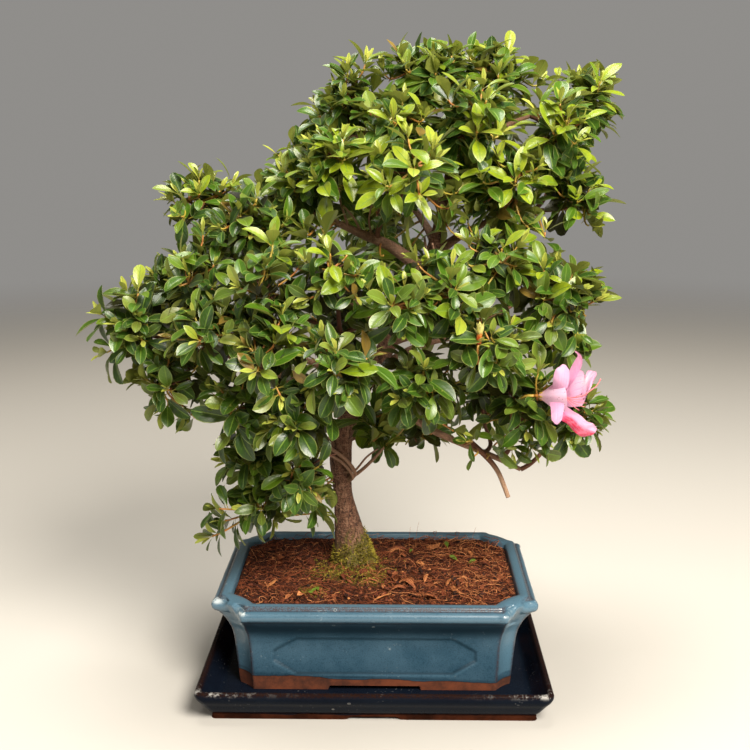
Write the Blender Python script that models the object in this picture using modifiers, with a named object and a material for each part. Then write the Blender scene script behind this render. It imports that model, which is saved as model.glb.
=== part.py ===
"""Azalea bonsai in a blue glazed pot on a dark glazed saucer.

Metres, +Z up, +Y away from the front of the pot. The origin is the centre of the pot's plan,
on the surface that the saucer stands on.
"""

import math
import random

import bmesh
import bpy
from mathutils import Matrix, Vector
from mathutils.bvhtree import BVHTree

MM = 0.001
GAP = 0.3 * MM
WELD = 0.01 * MM
SHARP_ANGLE = math.radians(35)

# Saucer: outer sizes at the rim and at the foot
SAUCER_LENGTH = 0.289
SAUCER_DEPTH = 0.239
SAUCER_TOP = 0.0275
SAUCER_FLOOR = 0.0093
SAUCER_FOOT_INSET = 0.0125
SAUCER_CORNER = 0.008
SAUCER_FOOT_RECESS = 0.0025
SAUCER_FOOT_WIDTH = 0.014
SAUCER_ARCH = 0.043
# Each saucer station: height, inset from the rim's outline
SAUCER_STATIONS = (
    (0.0, SAUCER_FOOT_INSET + 0.0005),
    (0.0045, SAUCER_FOOT_INSET),
    (0.0062, SAUCER_FOOT_INSET + 0.0008),
    (0.0085, SAUCER_FOOT_INSET - 0.0015),
    (0.0150, 0.0050),
    (0.0205, 0.0010),
    (0.0240, 0.0),
    (SAUCER_TOP, 0.0016),
    (SAUCER_TOP - 0.0004, 0.0044),
    (0.0235, 0.0062),
    (0.0120, 0.0130),
    (SAUCER_FLOOR, 0.0180),
)
SHARPEST_CORNER = 0.003
CORNER_STEPS = 3

# Pot: outer sizes at the lip, and how the wall, the flutes and the feet run
POT_LENGTH = 0.270
POT_DEPTH = 0.194
POT_TOP = 0.090
POT_FOOT = SAUCER_FLOOR + GAP
FLUTE_SHOULDER = 0.15
FLUTE_SHARES = (0.08, 0.5, 0.92)
POT_DEPTH_SHARE = 1.07
FOOT_HEIGHT = 0.0038
FOOT_WIDTH = 0.013
FOOT_ARCH = 0.076
END_ARCH_SHARE = 0.6
DRAIN_RADIUS = 0.007
DRAIN_SPREAD = 0.055
PANEL_LENGTH = 0.168
PANEL_END_LENGTH = 0.090
PANEL_LOW = 0.0245
PANEL_HIGH = 0.0575
PANEL_CUT = 0.012
PANEL_CUT_RUN = 1.6 * PANEL_CUT
PANEL_CUTTER = 0.02
PANEL_SINK = 0.0012
WALL_LEAN = math.radians(5.0)

# Each wall station: height, inset from the lip's outline, corner cut, depth of the corner flute
POT_STATIONS = (
    (POT_FOOT, 0.0205, 0.0170, 0.0020),
    (0.0300, 0.0185, 0.0180, 0.0022),
    (0.0560, 0.0165, 0.0190, 0.0025),
    (0.0660, 0.0135, 0.0205, 0.0028),
    (0.0730, 0.0085, 0.0225, 0.0034),
    (0.0775, 0.0035, 0.0245, 0.0040),
    (0.0800, 0.0006, 0.0256, 0.0048),
    (0.0850, 0.0000, 0.0260, 0.0052),
    (0.0882, 0.0020, 0.0252, 0.0050),
    (0.0873, 0.0036, 0.0245, 0.0046),
    (0.0896, 0.0052, 0.0240, 0.0042),
    (POT_TOP, 0.0085, 0.0230, 0.0036),
    (0.0893, 0.0135, 0.0220, 0.0030),
    (0.0860, 0.0152, 0.0210, 0.0026),
    (0.0600, 0.0240, 0.0180, 0.0020),
    (0.0260, 0.0275, 0.0150, 0.0015),
    (0.0210, 0.0310, 0.0130, 0.0010),
)
CAVITY_STATIONS = POT_STATIONS[-4:]

# Soil: its top edge and how far the mound stands above that
SOIL_EDGE = 0.0855
SOIL_MOUND = 0.0045
SOIL_RINGS = 3
SOIL_ROUGH = 0.0008

# Trunk: points up its middle, from inside the soil to the leader's tip, with the radius at each
ROOT = Vector((-0.020, 0.012, 0.062))
ROOT_RADIUS = 0.0185
TRUNK = (
    (ROOT.x, ROOT.y, ROOT.z, ROOT_RADIUS),
    (-0.020, 0.012, 0.086, ROOT_RADIUS),
    (-0.021, 0.012, 0.097, 0.0168),
    (-0.023, 0.012, 0.112, 0.0142),
    (-0.026, 0.011, 0.130, 0.0112),
    (-0.029, 0.010, 0.150, 0.0086),
    (-0.030, 0.009, 0.165, 0.0082),
    (-0.031, 0.008, 0.185, 0.0094),
    (-0.029, 0.006, 0.207, 0.0090),
    (-0.020, 0.004, 0.235, 0.0084),
    (-0.004, 0.002, 0.265, 0.0078),
    (0.014, 0.000, 0.295, 0.0072),
    (0.030, -0.002, 0.325, 0.0068),
    (0.042, -0.006, 0.352, 0.0062),
    (0.050, -0.008, 0.378, 0.0054),
    (0.056, -0.004, 0.405, 0.0046),
    (0.062, 0.000, 0.435, 0.0038),
    (0.068, 0.004, 0.462, 0.0028),
)

# Limbs: points in millimetres from inside the trunk outward, the last two numbers being the
# radius at each end
LIMBS = {
    "left_low": ((-29, 6, 196), (-45, 0, 206), (-62, -12, 212), (-82, -22, 208), (-98, -30, 198), 3.8, 1.8),
    "left_mid": ((-22, 4, 230), (-45, 0, 246), (-75, -6, 260), (-105, -12, 272), (-138, -16, 292), 5.0, 2.0),
    "front": ((-6, 2, 262), (-10, -20, 275), (-18, -40, 290), (-26, -58, 306), 4.2, 2.0),
    "left_high": ((16, 0, 298), (-5, 8, 316), (-35, 15, 336), (-65, 14, 354), (-98, 8, 374), 5.0, 2.0),
    "across": ((42, -6, 352), (14, -38, 376), (-8, -43, 386), (-26, -42, 394), (-52, -30, 404), 5.4, 1.8),
    "right_low": ((-4, 2, 262), (12, -14, 246), (48, -28, 222), (101, -34, 200), (122, -35, 190), 4.2, 1.8),
    "stub": ((80, -32, 212), (92, -35, 202), (103, -36, 188), (112, -36, 166), 2.6, 1.9),
    "right_mid": ((14, 0, 295), (40, -12, 302), (70, -22, 308), (100, -26, 314), (128, -24, 318), 4.6, 1.8),
    "right_high": ((46, -8, 364), (70, -6, 382), (100, -2, 396), (130, 0, 402), 4.2, 1.8),
    "shoulder": ((56, -4, 405), (40, -4, 428), (18, -6, 448), (-6, -6, 460), (-28, -2, 464), 3.8, 1.6),
    "apex_right": ((63, 1, 440), (84, 0, 458), (108, -2, 472), (130, 2, 480), 3.2, 1.6),
    "back_right": ((-4, 2, 262), (15, 26, 272), (38, 48, 280), (66, 62, 284), 4.2, 2.0),
    "back_left": ((-20, 4, 235), (-34, 26, 248), (-52, 46, 262), (-78, 56, 270), 4.0, 2.0),
    "back_top": ((50, -8, 376), (42, 22, 390), (30, 48, 404), (12, 62, 416), 3.8, 1.8),
}
BARE_LIMBS = {
    "crossing_left": (
        (-27, 6, 170), (-17, -4, 178), (-26, -7, 190), (-38, -8, 200), (-50, -12, 214), 1.4, 1.2
    ),
    "crossing_right": ((-27, 6, 170), (-14, -2, 178), (-2, -6, 190), (8, -10, 204), 1.5, 1.2),
}
LEADER_FROM = 0.190
THICK_LIMB = 0.003

# Leafy sprays by the part of the crown that they fill: the centre of each in millimetres, then its
# half-lengths along X, Y and Z
SPRAYS = {
    "apex": (
        (44, 0, 512, 34, 30, 24),
        (92, 8, 514, 32, 30, 22),
        (186, 38, 500, 34, 30, 22),
        (71, -42, 476, 33, 28, 23),
        (138, -36, 466, 34, 28, 22),
        (164, -8, 412, 30, 28, 20),
        (114, -46, 424, 31, 28, 22),
        (96, 62, 488, 40, 36, 28),
        (152, 60, 444, 36, 36, 28),
    ),
    "shoulder": (
        (-24, 12, 490, 30, 28, 22),
        (-64, 6, 458, 28, 26, 20),
        (16, -30, 474, 32, 26, 21),
        (-24, -54, 448, 33, 26, 20),
        (34, -78, 440, 34, 28, 20),
        (-62, -30, 424, 28, 26, 20),
        (6, 66, 462, 42, 36, 28),
    ),
    "upper_left": (
        (-142, 0, 412, 30, 28, 23),
        (-108, -40, 396, 29, 28, 22),
        (-90, 34, 412, 29, 28, 22),
        (-128, 62, 372, 40, 36, 27),
    ),
    "left": (
        (-190, -50, 320, 32, 28, 24),
        (-172, 0, 348, 30, 28, 20),
        (-130, -58, 352, 29, 28, 22),
        (-162, -46, 258, 28, 26, 24),
        (-128, -84, 306, 30, 28, 24),
        (-164, 48, 292, 38, 36, 30),
    ),
    "front": (
        (-82, -92, 352, 28, 28, 23),
        (-72, -118, 304, 29, 26, 22),
        (-30, -100, 352, 29, 28, 23),
        (14, -112, 332, 28, 26, 24),
        (-30, -118, 292, 29, 26, 21),
        (-104, -84, 258, 28, 28, 20),
        (-56, -96, 250, 32, 28, 21),
    ),
    "low_left": (
        (-100, -52, 212, 28, 26, 20),
        (-60, -62, 200, 26, 26, 20),
        (-90, -54, 170, 24, 24, 18),
    ),
    "right": (
        (54, -104, 352, 27, 26, 24),
        (92, -74, 372, 28, 28, 22),
        (136, -60, 352, 30, 28, 22),
        (162, -30, 336, 28, 26, 20),
        (92, -100, 302, 30, 28, 21),
        (150, -20, 296, 28, 26, 20),
    ),
    "low_right": (
        (34, -92, 276, 30, 26, 24),
        (112, -58, 246, 32, 28, 20),
        (168, -26, 236, 24, 26, 18),
    ),
    "back": (
        (30, 52, 200, 38, 34, 24),
        (104, 64, 226, 42, 38, 28),
        (64, 106, 292, 46, 38, 34),
        (148, 84, 340, 42, 38, 32),
        (-34, 104, 292, 46, 38, 34),
        (0, 104, 384, 48, 38, 34),
        (-98, 84, 240, 40, 36, 28),
    ),
}
CORE_SHARE = 0.50
CORE_ROUGH = 0.84
CROWN_MIDDLE = Vector((0.010, 0.0, 0.300))
CROWN_FLATTEN = 0.8

# Whorls of leaves on each spray; a leaf is widest at LEAF_WIDEST of its length
WHORLS_SMALL = 2
WHORLS_LARGE = 3
LARGE_SPRAY = 0.037
WHORL_TRIES = 26
WHORL_CLEAR = 0.0003
WHORL_FIRST_ANGLE = math.radians(8)
WHORL_WIDEST_ANGLE = math.radians(126)
WHORL_UPTURN = 0.35
SPRAY_UPTURN = 0.45
LEAVES_IN_WHORL = (4, 5, 5, 5, 6)
LEAF_LENGTH = (0.022, 0.028)
LEAF_WIDTH_SHARE = 0.22
LEAF_WIDEST = 0.55
LEAF_TIP_DROP = 0.8
LEAF_FOLD = 0.35
LEAF_SLOPE = (-0.20, 0.42)
LEAF_THICK = 0.0009
LEAF_SPACING_SPREAD = 0.12
NOTCH_RADIUS = 0.0022
STALK_RISE = (0.004, 0.010)
STALK_SUNK = 0.005

# Twigs from the limbs to the sprays, and the bends tried until one is clear of the other sprays
TWIG_RADIUS = (0.0024, 0.0015)
TWIG_STARTS = 40
TWIG_APPROACH = 0.006
TWIG_APPROACH_SHARE = 0.3
TWIG_CLEAR = 0.0030
TWIG_TEST_STEPS = 6
FALL_PENALTY = 0.6
LOW_FACE_BONUS = 0.25
TWIG_BENDS = [(0.0, 0.0)] + [
    (size * math.sin(math.radians(turn)), size * math.cos(math.radians(turn)))
    for size in (0.15, 0.3, 0.5)
    for turn in range(0, 360, 45)
]
GOLDEN_ANGLE = math.pi * (3 - math.sqrt(5))

# Flower and bud: where their stalks meet the twigs, and which way they face
FLOWER_SEAT = Vector((0.126, -0.078, 0.263))
FLOWER_AXIS = Vector((0.86, -0.50, -0.02)).normalized()
FLOWER_REACH = 0.026
PETAL_THICK = 0.0009
LOBES = 5
LOBE_COLUMNS = 4
LOBE_ROUNDNESS = 0.45
LOWER_LIP_DROOP = 0.004
# Corolla rows: height, radius in the clefts between the lobes, radius along the lobes' middles
COROLLA_ROWS = (
    (0.0090, 0.0020, 0.0020),
    (0.0200, 0.0058, 0.0062),
    (0.0290, 0.0115, 0.0135),
    (0.0350, 0.0150, 0.0240),
    (0.0370, 0.0165, 0.0330),
)
# Stalk and calyx: height, radius
STALK = ((0.0, 0.0013), (0.004, 0.0018), (0.009, 0.0028), (0.0125, 0.0020))
STAMENS = 5
STAMEN_REACH = 0.039
STYLE_REACH = 0.046
# A stamen's distance from the flower's axis and its height, up to the last point at its full reach
STAMEN_ROUTE = ((0.0009, 0.0118), (0.0024, 0.024), (0.0062, None))
STAMEN_RADII = (0.0005, 0.0005, 0.0007)
BUD_REACH = 0.010
BUD_SIDES = 6
# Bud rows in millimetres: height, radius
BUD_ROWS = ((0, 1.4), (3, 1.7), (6, 3.6), (10, 4.2), (14, 3.0), (18, 1.0))
BUD_SEAT = Vector((0.078, -0.126, 0.309))
BUD_AXIS = Vector((0.10, -0.10, 1.0)).normalized()

COLOURS = {
    "glaze_dark": ((0.010, 0.012, 0.020), 0.18),
    "glaze_blue": ((0.045, 0.130, 0.200), 0.30),
    "soil": ((0.090, 0.035, 0.018), 0.95),
    "bark": ((0.160, 0.095, 0.075), 0.85),
    "leaf": ((0.045, 0.150, 0.020), 0.40),
    "petal": ((0.800, 0.150, 0.270), 0.55),
    "bud": ((0.600, 0.170, 0.030), 0.60),
}


def clear_scene():
    for obj in list(bpy.data.objects):
        bpy.data.objects.remove(obj, do_unlink=True)


def collection(name):
    made = bpy.data.collections.new(name)
    bpy.context.scene.collection.children.link(made)
    return made


def material(slot):
    """The slot's Principled material, made the first time that it is asked for."""
    made = bpy.data.materials.get(slot)
    if made:
        return made
    colour, roughness = COLOURS[slot]
    made = bpy.data.materials.new(slot)
    made.use_nodes = True
    shader = made.node_tree.nodes["Principled BSDF"]
    shader.inputs["Base Color"].default_value = (*colour, 1.0)
    shader.inputs["Roughness"].default_value = roughness
    shader.inputs["Metallic"].default_value = 0.0
    return made


def mesh_object(name, shape, slot, home):
    """An object in the collection home, from a bmesh."""
    bmesh.ops.recalc_face_normals(shape, faces=shape.faces)
    mesh = bpy.data.meshes.new(name)
    shape.to_mesh(mesh)
    shape.free()
    mesh.shade_smooth()
    mesh.set_sharp_from_angle(angle=SHARP_ANGLE)
    obj = bpy.data.objects.new(name, mesh)
    mesh.materials.append(material(slot))
    home.objects.link(obj)
    return obj


def apply_modifiers(obj):
    """The object with its modifiers turned into mesh."""
    graph = bpy.context.evaluated_depsgraph_get()
    mesh = bpy.data.meshes.new_from_object(obj.evaluated_get(graph))
    obj.modifiers.clear()
    obj.data = mesh


def unite(obj, extras):
    """Join the objects of a collection to obj with one union, and remove them."""
    join = obj.modifiers.new("join", "BOOLEAN")
    join.operand_type = "COLLECTION"
    join.collection = extras
    join.operation = "UNION"
    join.solver = "MANIFOLD"
    apply_modifiers(obj)
    for extra in list(extras.objects):
        bpy.data.objects.remove(extra, do_unlink=True)


def cut(obj, cutter):
    """Take a cutter away from obj; the cutter stays as a hidden guide."""
    cutter.hide_render = True
    cutter.display_type = "WIRE"
    bite = obj.modifiers.new("cut " + cutter.name, "BOOLEAN")
    bite.object = cutter
    bite.operation = "DIFFERENCE"


def loft(name, rings, slot, home):
    """A closed solid through rings of equally many points, capped at both ends."""
    shape = bmesh.new()
    rows = [[shape.verts.new(point) for point in ring] for ring in rings]
    for low, high in zip(rows, rows[1:]):
        for here in range(len(low)):
            there = (here + 1) % len(low)
            shape.faces.new((low[here], low[there], high[there], high[here]))
    shape.faces.new(reversed(rows[0]))
    shape.faces.new(rows[-1])
    return mesh_object(name, shape, slot, home)


def box(name, low, high, slot, home):
    """A cutter's box between two corners."""
    shape = bmesh.new()
    bmesh.ops.create_cube(shape, size=1.0)
    size = Vector(high) - Vector(low)
    middle = (Vector(high) + Vector(low)) / 2
    bmesh.ops.scale(shape, vec=size, verts=shape.verts)
    bmesh.ops.translate(shape, vec=middle, verts=shape.verts)
    return mesh_object(name, shape, slot, home)


def cylinder(name, centre, radius, low, high, sides, slot, home):
    shape = bmesh.new()
    bmesh.ops.create_cone(
        shape, cap_ends=True, segments=sides, radius1=radius, radius2=radius, depth=high - low
    )
    bmesh.ops.translate(shape, vec=(centre[0], centre[1], (low + high) / 2), verts=shape.verts)
    return mesh_object(name, shape, slot, home)


def fluted_ring(z, half_x, half_y, cut_size, dent):
    """A rectangle's outline whose corners are cut off by a shallow flute, anticlockwise."""
    shoulder = FLUTE_SHOULDER * cut_size
    corner = [Vector((half_x, half_y - cut_size - shoulder))]
    start = Vector((half_x, half_y - cut_size))
    end = Vector((half_x - cut_size, half_y))
    for share in FLUTE_SHARES:
        inward = dent * math.sin(math.pi * share) / math.sqrt(2)
        corner.append(start.lerp(end, share) - Vector((inward, inward)))
    corner.append(Vector((half_x - cut_size - shoulder, half_y)))
    return four_corners(corner, z)


def rounded_ring(z, half_x, half_y, radius):
    """A rectangle's outline with round corners, anticlockwise."""
    corner = []
    for step in range(CORNER_STEPS + 1):
        angle = math.pi / 2 * step / CORNER_STEPS
        x = half_x - radius + radius * math.cos(angle)
        y = half_y - radius + radius * math.sin(angle)
        corner.append(Vector((x, y)))
    return four_corners(corner, z)


def four_corners(corner, z):
    ring = []
    for sign_x, sign_y in ((1, 1), (-1, 1), (-1, -1), (1, -1)):
        turned = corner if sign_x * sign_y > 0 else corner[::-1]
        ring += [Vector((p.x * sign_x, p.y * sign_y, z)) for p in turned]
    return ring


def build_saucer(parts, cutters):
    """A tray with a flared wall on a low foot ring, which has a gap in the middle of each long side."""
    half_x = SAUCER_LENGTH / 2
    half_y = SAUCER_DEPTH / 2
    rings = []
    for z, inset in SAUCER_STATIONS:
        corner = max(SAUCER_CORNER - inset / 3, SHARPEST_CORNER)
        rings.append(rounded_ring(z, half_x - inset, half_y - inset, corner))
    saucer = loft("saucer", rings, "glaze_dark", parts)
    inner_x = half_x - SAUCER_FOOT_INSET - SAUCER_FOOT_WIDTH
    inner_y = half_y - SAUCER_FOOT_INSET - SAUCER_FOOT_WIDTH
    below = -SAUCER_TOP
    recess = box(
        "saucer_recess",
        (-inner_x, -inner_y, below),
        (inner_x, inner_y, SAUCER_FOOT_RECESS),
        "glaze_dark",
        cutters,
    )
    arch = box(
        "saucer_arch",
        (-SAUCER_ARCH / 2, -half_y, below),
        (SAUCER_ARCH / 2, half_y, SAUCER_FOOT_RECESS),
        "glaze_dark",
        cutters,
    )
    cut(saucer, recess)
    cut(saucer, arch)


def pot_ring(station, inward=0.0):
    z, inset, corner_cut, dent = station
    half_x = POT_LENGTH / 2 - inset - inward
    half_y = POT_DEPTH / 2 - inset * POT_DEPTH_SHARE - inward
    return fluted_ring(z, half_x, half_y, corner_cut, dent)


def panel_cutter(name, length, distance, turn, cutters):
    """A long octagon that sinks a panel a little way into one wall."""
    half = length / 2
    middle = (PANEL_LOW + PANEL_HIGH) / 2
    rise = (PANEL_HIGH - PANEL_LOW) / 2
    flat = (
        (half, rise - PANEL_CUT),
        (half - PANEL_CUT_RUN, rise),
        (PANEL_CUT_RUN - half, rise),
        (-half, rise - PANEL_CUT),
        (-half, PANEL_CUT - rise),
        (PANEL_CUT_RUN - half, -rise),
        (half - PANEL_CUT_RUN, -rise),
        (half, PANEL_CUT - rise),
    )
    rings = [[Vector((x, y, z)) for x, z in flat] for y in (-PANEL_CUTTER, 0.0)]
    panel = loft(name, rings, "glaze_blue", cutters)
    lean = Matrix.Rotation(WALL_LEAN, 4, "X")
    panel.data.transform(Matrix.Rotation(turn, 4, "Z") @ Matrix.Translation((0, -distance, middle)) @ lean)
    return panel


def build_pot(parts, cutters):
    """The glazed pot: lofted wall and cavity, with feet, drain holes and a sunk panel in each wall."""
    pot = loft("pot", [pot_ring(station) for station in POT_STATIONS], "glaze_blue", parts)
    out_x = POT_LENGTH / 2
    out_y = POT_DEPTH / 2
    inner_x = out_x - POT_STATIONS[0][1] - FOOT_WIDTH
    inner_y = out_y - POT_STATIONS[0][1] * POT_DEPTH_SHARE - FOOT_WIDTH
    top = POT_FOOT + FOOT_HEIGHT
    cut(pot, box("foot_recess", (-inner_x, -inner_y, 0), (inner_x, inner_y, top), "glaze_blue", cutters))
    arch = FOOT_ARCH / 2
    end_arch = arch * END_ARCH_SHARE
    cut(pot, box("front_arch", (-arch, -out_y, 0), (arch, out_y, top), "glaze_blue", cutters))
    cut(pot, box("end_arch", (-out_x, -end_arch, 0), (out_x, end_arch, top), "glaze_blue", cutters))
    for side in (-1, 1):
        hole = cylinder(
            f"drain_{side}", (side * DRAIN_SPREAD, 0), DRAIN_RADIUS, 0, SOIL_EDGE, 12, "glaze_blue", cutters
        )
        cut(pot, hole)
    share = ((PANEL_LOW + PANEL_HIGH) / 2 - POT_STATIONS[1][0]) / (POT_STATIONS[2][0] - POT_STATIONS[1][0])
    inset = POT_STATIONS[1][1] + share * (POT_STATIONS[2][1] - POT_STATIONS[1][1])
    front = POT_DEPTH / 2 - inset * POT_DEPTH_SHARE - PANEL_SINK
    end = POT_LENGTH / 2 - inset - PANEL_SINK
    for name, length, distance, turn in (
        ("panel_front", PANEL_LENGTH, front, 0),
        ("panel_back", PANEL_LENGTH, front, math.pi),
        ("panel_right", PANEL_END_LENGTH, end, math.pi / 2),
        ("panel_left", PANEL_END_LENGTH, end, -math.pi / 2),
    ):
        cut(pot, panel_cutter(name, length, distance, turn, cutters))


def build_soil(parts, cutters):
    """The peat that fills the pot, a low mound on top, with a plain hole for the root."""
    lip = (SOIL_EDGE, *CAVITY_STATIONS[0][1:])
    below = [station for station in CAVITY_STATIONS if station[0] < SOIL_EDGE]
    floor, *walls = [pot_ring(station, 2 * GAP) for station in reversed(below)]
    floor = [point + Vector((0, 0, GAP)) for point in floor]
    edge = pot_ring(lip, 2 * GAP)
    rings = [floor, *walls, edge]
    rng = random.Random(3)
    for step in range(1, SOIL_RINGS):
        share = 1 - step / SOIL_RINGS
        ring = []
        for point in edge:
            rise = SOIL_MOUND * math.sin(math.pi / 2 * (1 - share)) + rng.uniform(-SOIL_ROUGH, SOIL_ROUGH)
            place = ROOT.lerp(point, share)
            ring.append(Vector((place.x, place.y, SOIL_EDGE + rise)))
        rings.append(ring)
    soil = loft("soil", rings, "soil", parts)
    hole = cylinder(
        "root_hole", ROOT, ROOT_RADIUS + 2 * GAP, ROOT.z - GAP, POT_TOP + 0.02, 16, "soil", cutters
    )
    cut(soil, hole)


def smooth_path(points, steps):
    """Points read from a smooth curve through the given ones, which may carry a radius."""
    path = []
    for index in range(len(points) - 1):
        before = points[max(index - 1, 0)]
        start = points[index]
        end = points[index + 1]
        after = points[min(index + 2, len(points) - 1)]
        for step in range(steps):
            t = step / steps
            path.append(
                0.5 * (2 * start + (end - before) * t + (2 * before - 5 * start + 4 * end - after) * t**2
                       + (3 * start - before - 3 * end + after) * t**3)
            )
    return [*path, points[-1]]


def tube(name, points, radii, resolution, slot, home):
    """A closed tapering tube along the points, as a mesh."""
    curve = bpy.data.curves.new(name, "CURVE")
    curve.dimensions = "3D"
    curve.bevel_depth = 1.0
    curve.bevel_resolution = resolution
    curve.use_fill_caps = True
    spline = curve.splines.new("POLY")
    spline.points.add(len(points) - 1)
    for at, point, radius in zip(spline.points, points, radii):
        at.co = (*point, 1.0)
        at.radius = radius
    guide = bpy.data.objects.new(name + "_guide", curve)
    home.objects.link(guide)
    bpy.context.view_layer.update()
    graph = bpy.context.evaluated_depsgraph_get()
    mesh = bpy.data.meshes.new_from_object(guide.evaluated_get(graph))
    shape = bmesh.new()
    shape.from_mesh(mesh)
    bmesh.ops.remove_doubles(shape, verts=shape.verts, dist=WELD)
    bpy.data.objects.remove(guide, do_unlink=True)
    bpy.data.curves.remove(curve)
    return mesh_object(name, shape, slot, home)


def tree_of(obj):
    """The object's surface, for testing what crosses it."""
    shape = bmesh.new()
    shape.from_mesh(obj.data)
    made = BVHTree.FromBMesh(shape)
    shape.free()
    return made


def spray_core(name, centre, half, rng, home):
    """The dense twiggy heart of a spray: a rough faceted ball, smaller than the spray."""
    shape = bmesh.new()
    bmesh.ops.create_icosphere(shape, subdivisions=1, radius=CORE_SHARE)
    for vert in shape.verts:
        vert.co *= rng.uniform(CORE_ROUGH, 1.0)
    turn = Matrix.Rotation(rng.uniform(0, 1), 3, "Z")
    bmesh.ops.rotate(shape, cent=(0, 0, 0), matrix=turn, verts=shape.verts)
    bmesh.ops.scale(shape, vec=half, verts=shape.verts)
    bmesh.ops.translate(shape, vec=centre, verts=shape.verts)
    return mesh_object(name, shape, "leaf", home)


def taper(thick, thin, count):
    """Radii that go evenly from thick to thin."""
    return [thick + (thin - thick) * index / (count - 1) for index in range(count)]


def seat_on_core(core, towards):
    """The middle and the normal of the core's face that best looks at a point, and lies low."""
    best = None
    for face in core.data.polygons:
        way = (towards - face.center).normalized()
        score = face.normal.dot(way) - LOW_FACE_BONUS * face.normal.z
        if best is None or score > best[0]:
            best = (score, face.center.copy(), face.normal.copy())
    return best[1], best[2]


def clear_of_cores(points, margin, cores, but=None):
    """Whether every point keeps the margin to every core's ellipsoid, apart from one core's."""
    for index, (centre, half) in enumerate(cores):
        if index == but:
            continue
        for point in points:
            away = point - centre
            share = Vector(away[axis] / (half[axis] * CORE_SHARE + margin) for axis in range(3))
            if share.length < 1.0:
                return False
    return True


def twig_to(seat, normal, carriers, obstacles, own):
    """The shortest bent twig from a limb to a seat that passes clear of every core and bloom."""
    starts = sorted(
        (point for path in carriers for point in path),
        key=lambda point: (point - seat).length + FALL_PENALTY * max(point.z - seat.z, 0),
    )
    approach = seat + normal * (TWIG_APPROACH + TWIG_APPROACH_SHARE * CORE_SHARE * max(obstacles[own][1]))
    for start in starts[:TWIG_STARTS]:
        way = approach - start
        side = way.cross(Vector((0, 0, 1))).normalized() * way.length
        lift = Vector((0, 0, way.length))
        for up, across in TWIG_BENDS:
            bent = start + way / 2 + lift * up + side * across
            if clear_of_cores(smooth_path([start, bent, approach], TWIG_TEST_STEPS), TWIG_CLEAR, obstacles):
                return [start, bent, approach, seat] if up or across else [start, approach, seat]
    raise ValueError(f"no clear way for a twig to {own}")


def build_wood(parts, cores, core_objects, blooms):
    """Trunk, limbs and a twig to each spray and bloom, grown together as one piece."""
    scraps = collection("wood pieces")
    trunk = tube("trunk", [Vector(p[:3]) for p in TRUNK], [p[3] for p in TRUNK], 3, "bark", parts)
    carriers = [[Vector(p[:3]) for p in TRUNK if p[2] > LEADER_FROM]]
    for name, (*points, thick, thin) in {**LIMBS, **BARE_LIMBS}.items():
        path = [Vector(point) * MM for point in points]
        radii = taper(thick * MM, thin * MM, len(path))
        tube(name, path, radii, 1 if radii[0] > THICK_LIMB else 0, "bark", scraps)
        if name in LIMBS and name != "stub":
            carriers.append(path)
    seats = []
    for index, core in enumerate(core_objects):
        centre = cores[index][0]
        points = (point for path in carriers for point in path)
        nearest = min(points, key=lambda point: (point - centre).length)
        seats.append((*seat_on_core(core, nearest), index))
    seats.append((FLOWER_SEAT, -FLOWER_AXIS, len(cores)))
    seats.append((BUD_SEAT, -BUD_AXIS, len(cores) + 1))
    for number, (seat, normal, own) in enumerate(seats):
        path = twig_to(seat + normal * GAP, normal, carriers, cores + blooms, own)
        tube(f"twig_{number}", path, taper(*TWIG_RADIUS, len(path)), 0, "bark", scraps)
    unite(trunk, scraps)
    return trunk


def whorl(rng):
    """A whorl's points and faces: one blade of several leaves cut to its centre, on a tapering stalk.

    Its axis is +Z. Each leaf is folded along its rib and arches out to its tip.
    """
    count = rng.choice(LEAVES_IN_WHORL)
    rise = rng.uniform(*STALK_RISE)
    turn = rng.uniform(0, math.tau)
    rim = []
    for leaf in range(count):
        angle = turn + math.tau * (leaf + rng.uniform(-LEAF_SPACING_SPREAD, LEAF_SPACING_SPREAD)) / count
        between = turn + math.tau * (leaf - 0.5) / count
        length = rng.uniform(*LEAF_LENGTH)
        half_width = length * LEAF_WIDTH_SHARE
        slope = rng.uniform(*LEAF_SLOPE)
        along = Vector((math.cos(angle), math.sin(angle), 0))
        across = Vector((-along.y, along.x, 0))
        middle = (along + Vector((0, 0, slope))) * length * LEAF_WIDEST
        fold = half_width * LEAF_FOLD
        rim.append(Vector((math.cos(between), math.sin(between), 0)) * NOTCH_RADIUS)
        rim.append(middle - across * half_width + Vector((0, 0, fold)))
        rim.append(along * length + Vector((0, 0, length * slope * LEAF_TIP_DROP)))
        rim.append(middle + across * half_width + Vector((0, 0, fold)))
    size = len(rim)
    down = Vector((0, 0, LEAF_THICK))
    points = [*rim, *(point - down for point in rim), Vector((0, 0, 0)), Vector((0, 0, -rise - STALK_SUNK))]
    top_middle = 2 * size
    stalk_end = 2 * size + 1
    faces = []
    for here in range(size):
        there = (here + 1) % size
        faces.append((top_middle, here, there))
        faces.append((here, here + size, there + size))
        faces.append((here, there + size, there))
    for notch in range(0, size, 4):
        first, tip, second, following = (size + (notch + step) % size for step in (1, 2, 3, 4))
        root = size + notch
        faces.append((root, tip, first))
        faces.append((root, following, tip))
        faces.append((following, second, tip))
        faces.append((stalk_end, following, root))
    return points, faces, rise


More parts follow.
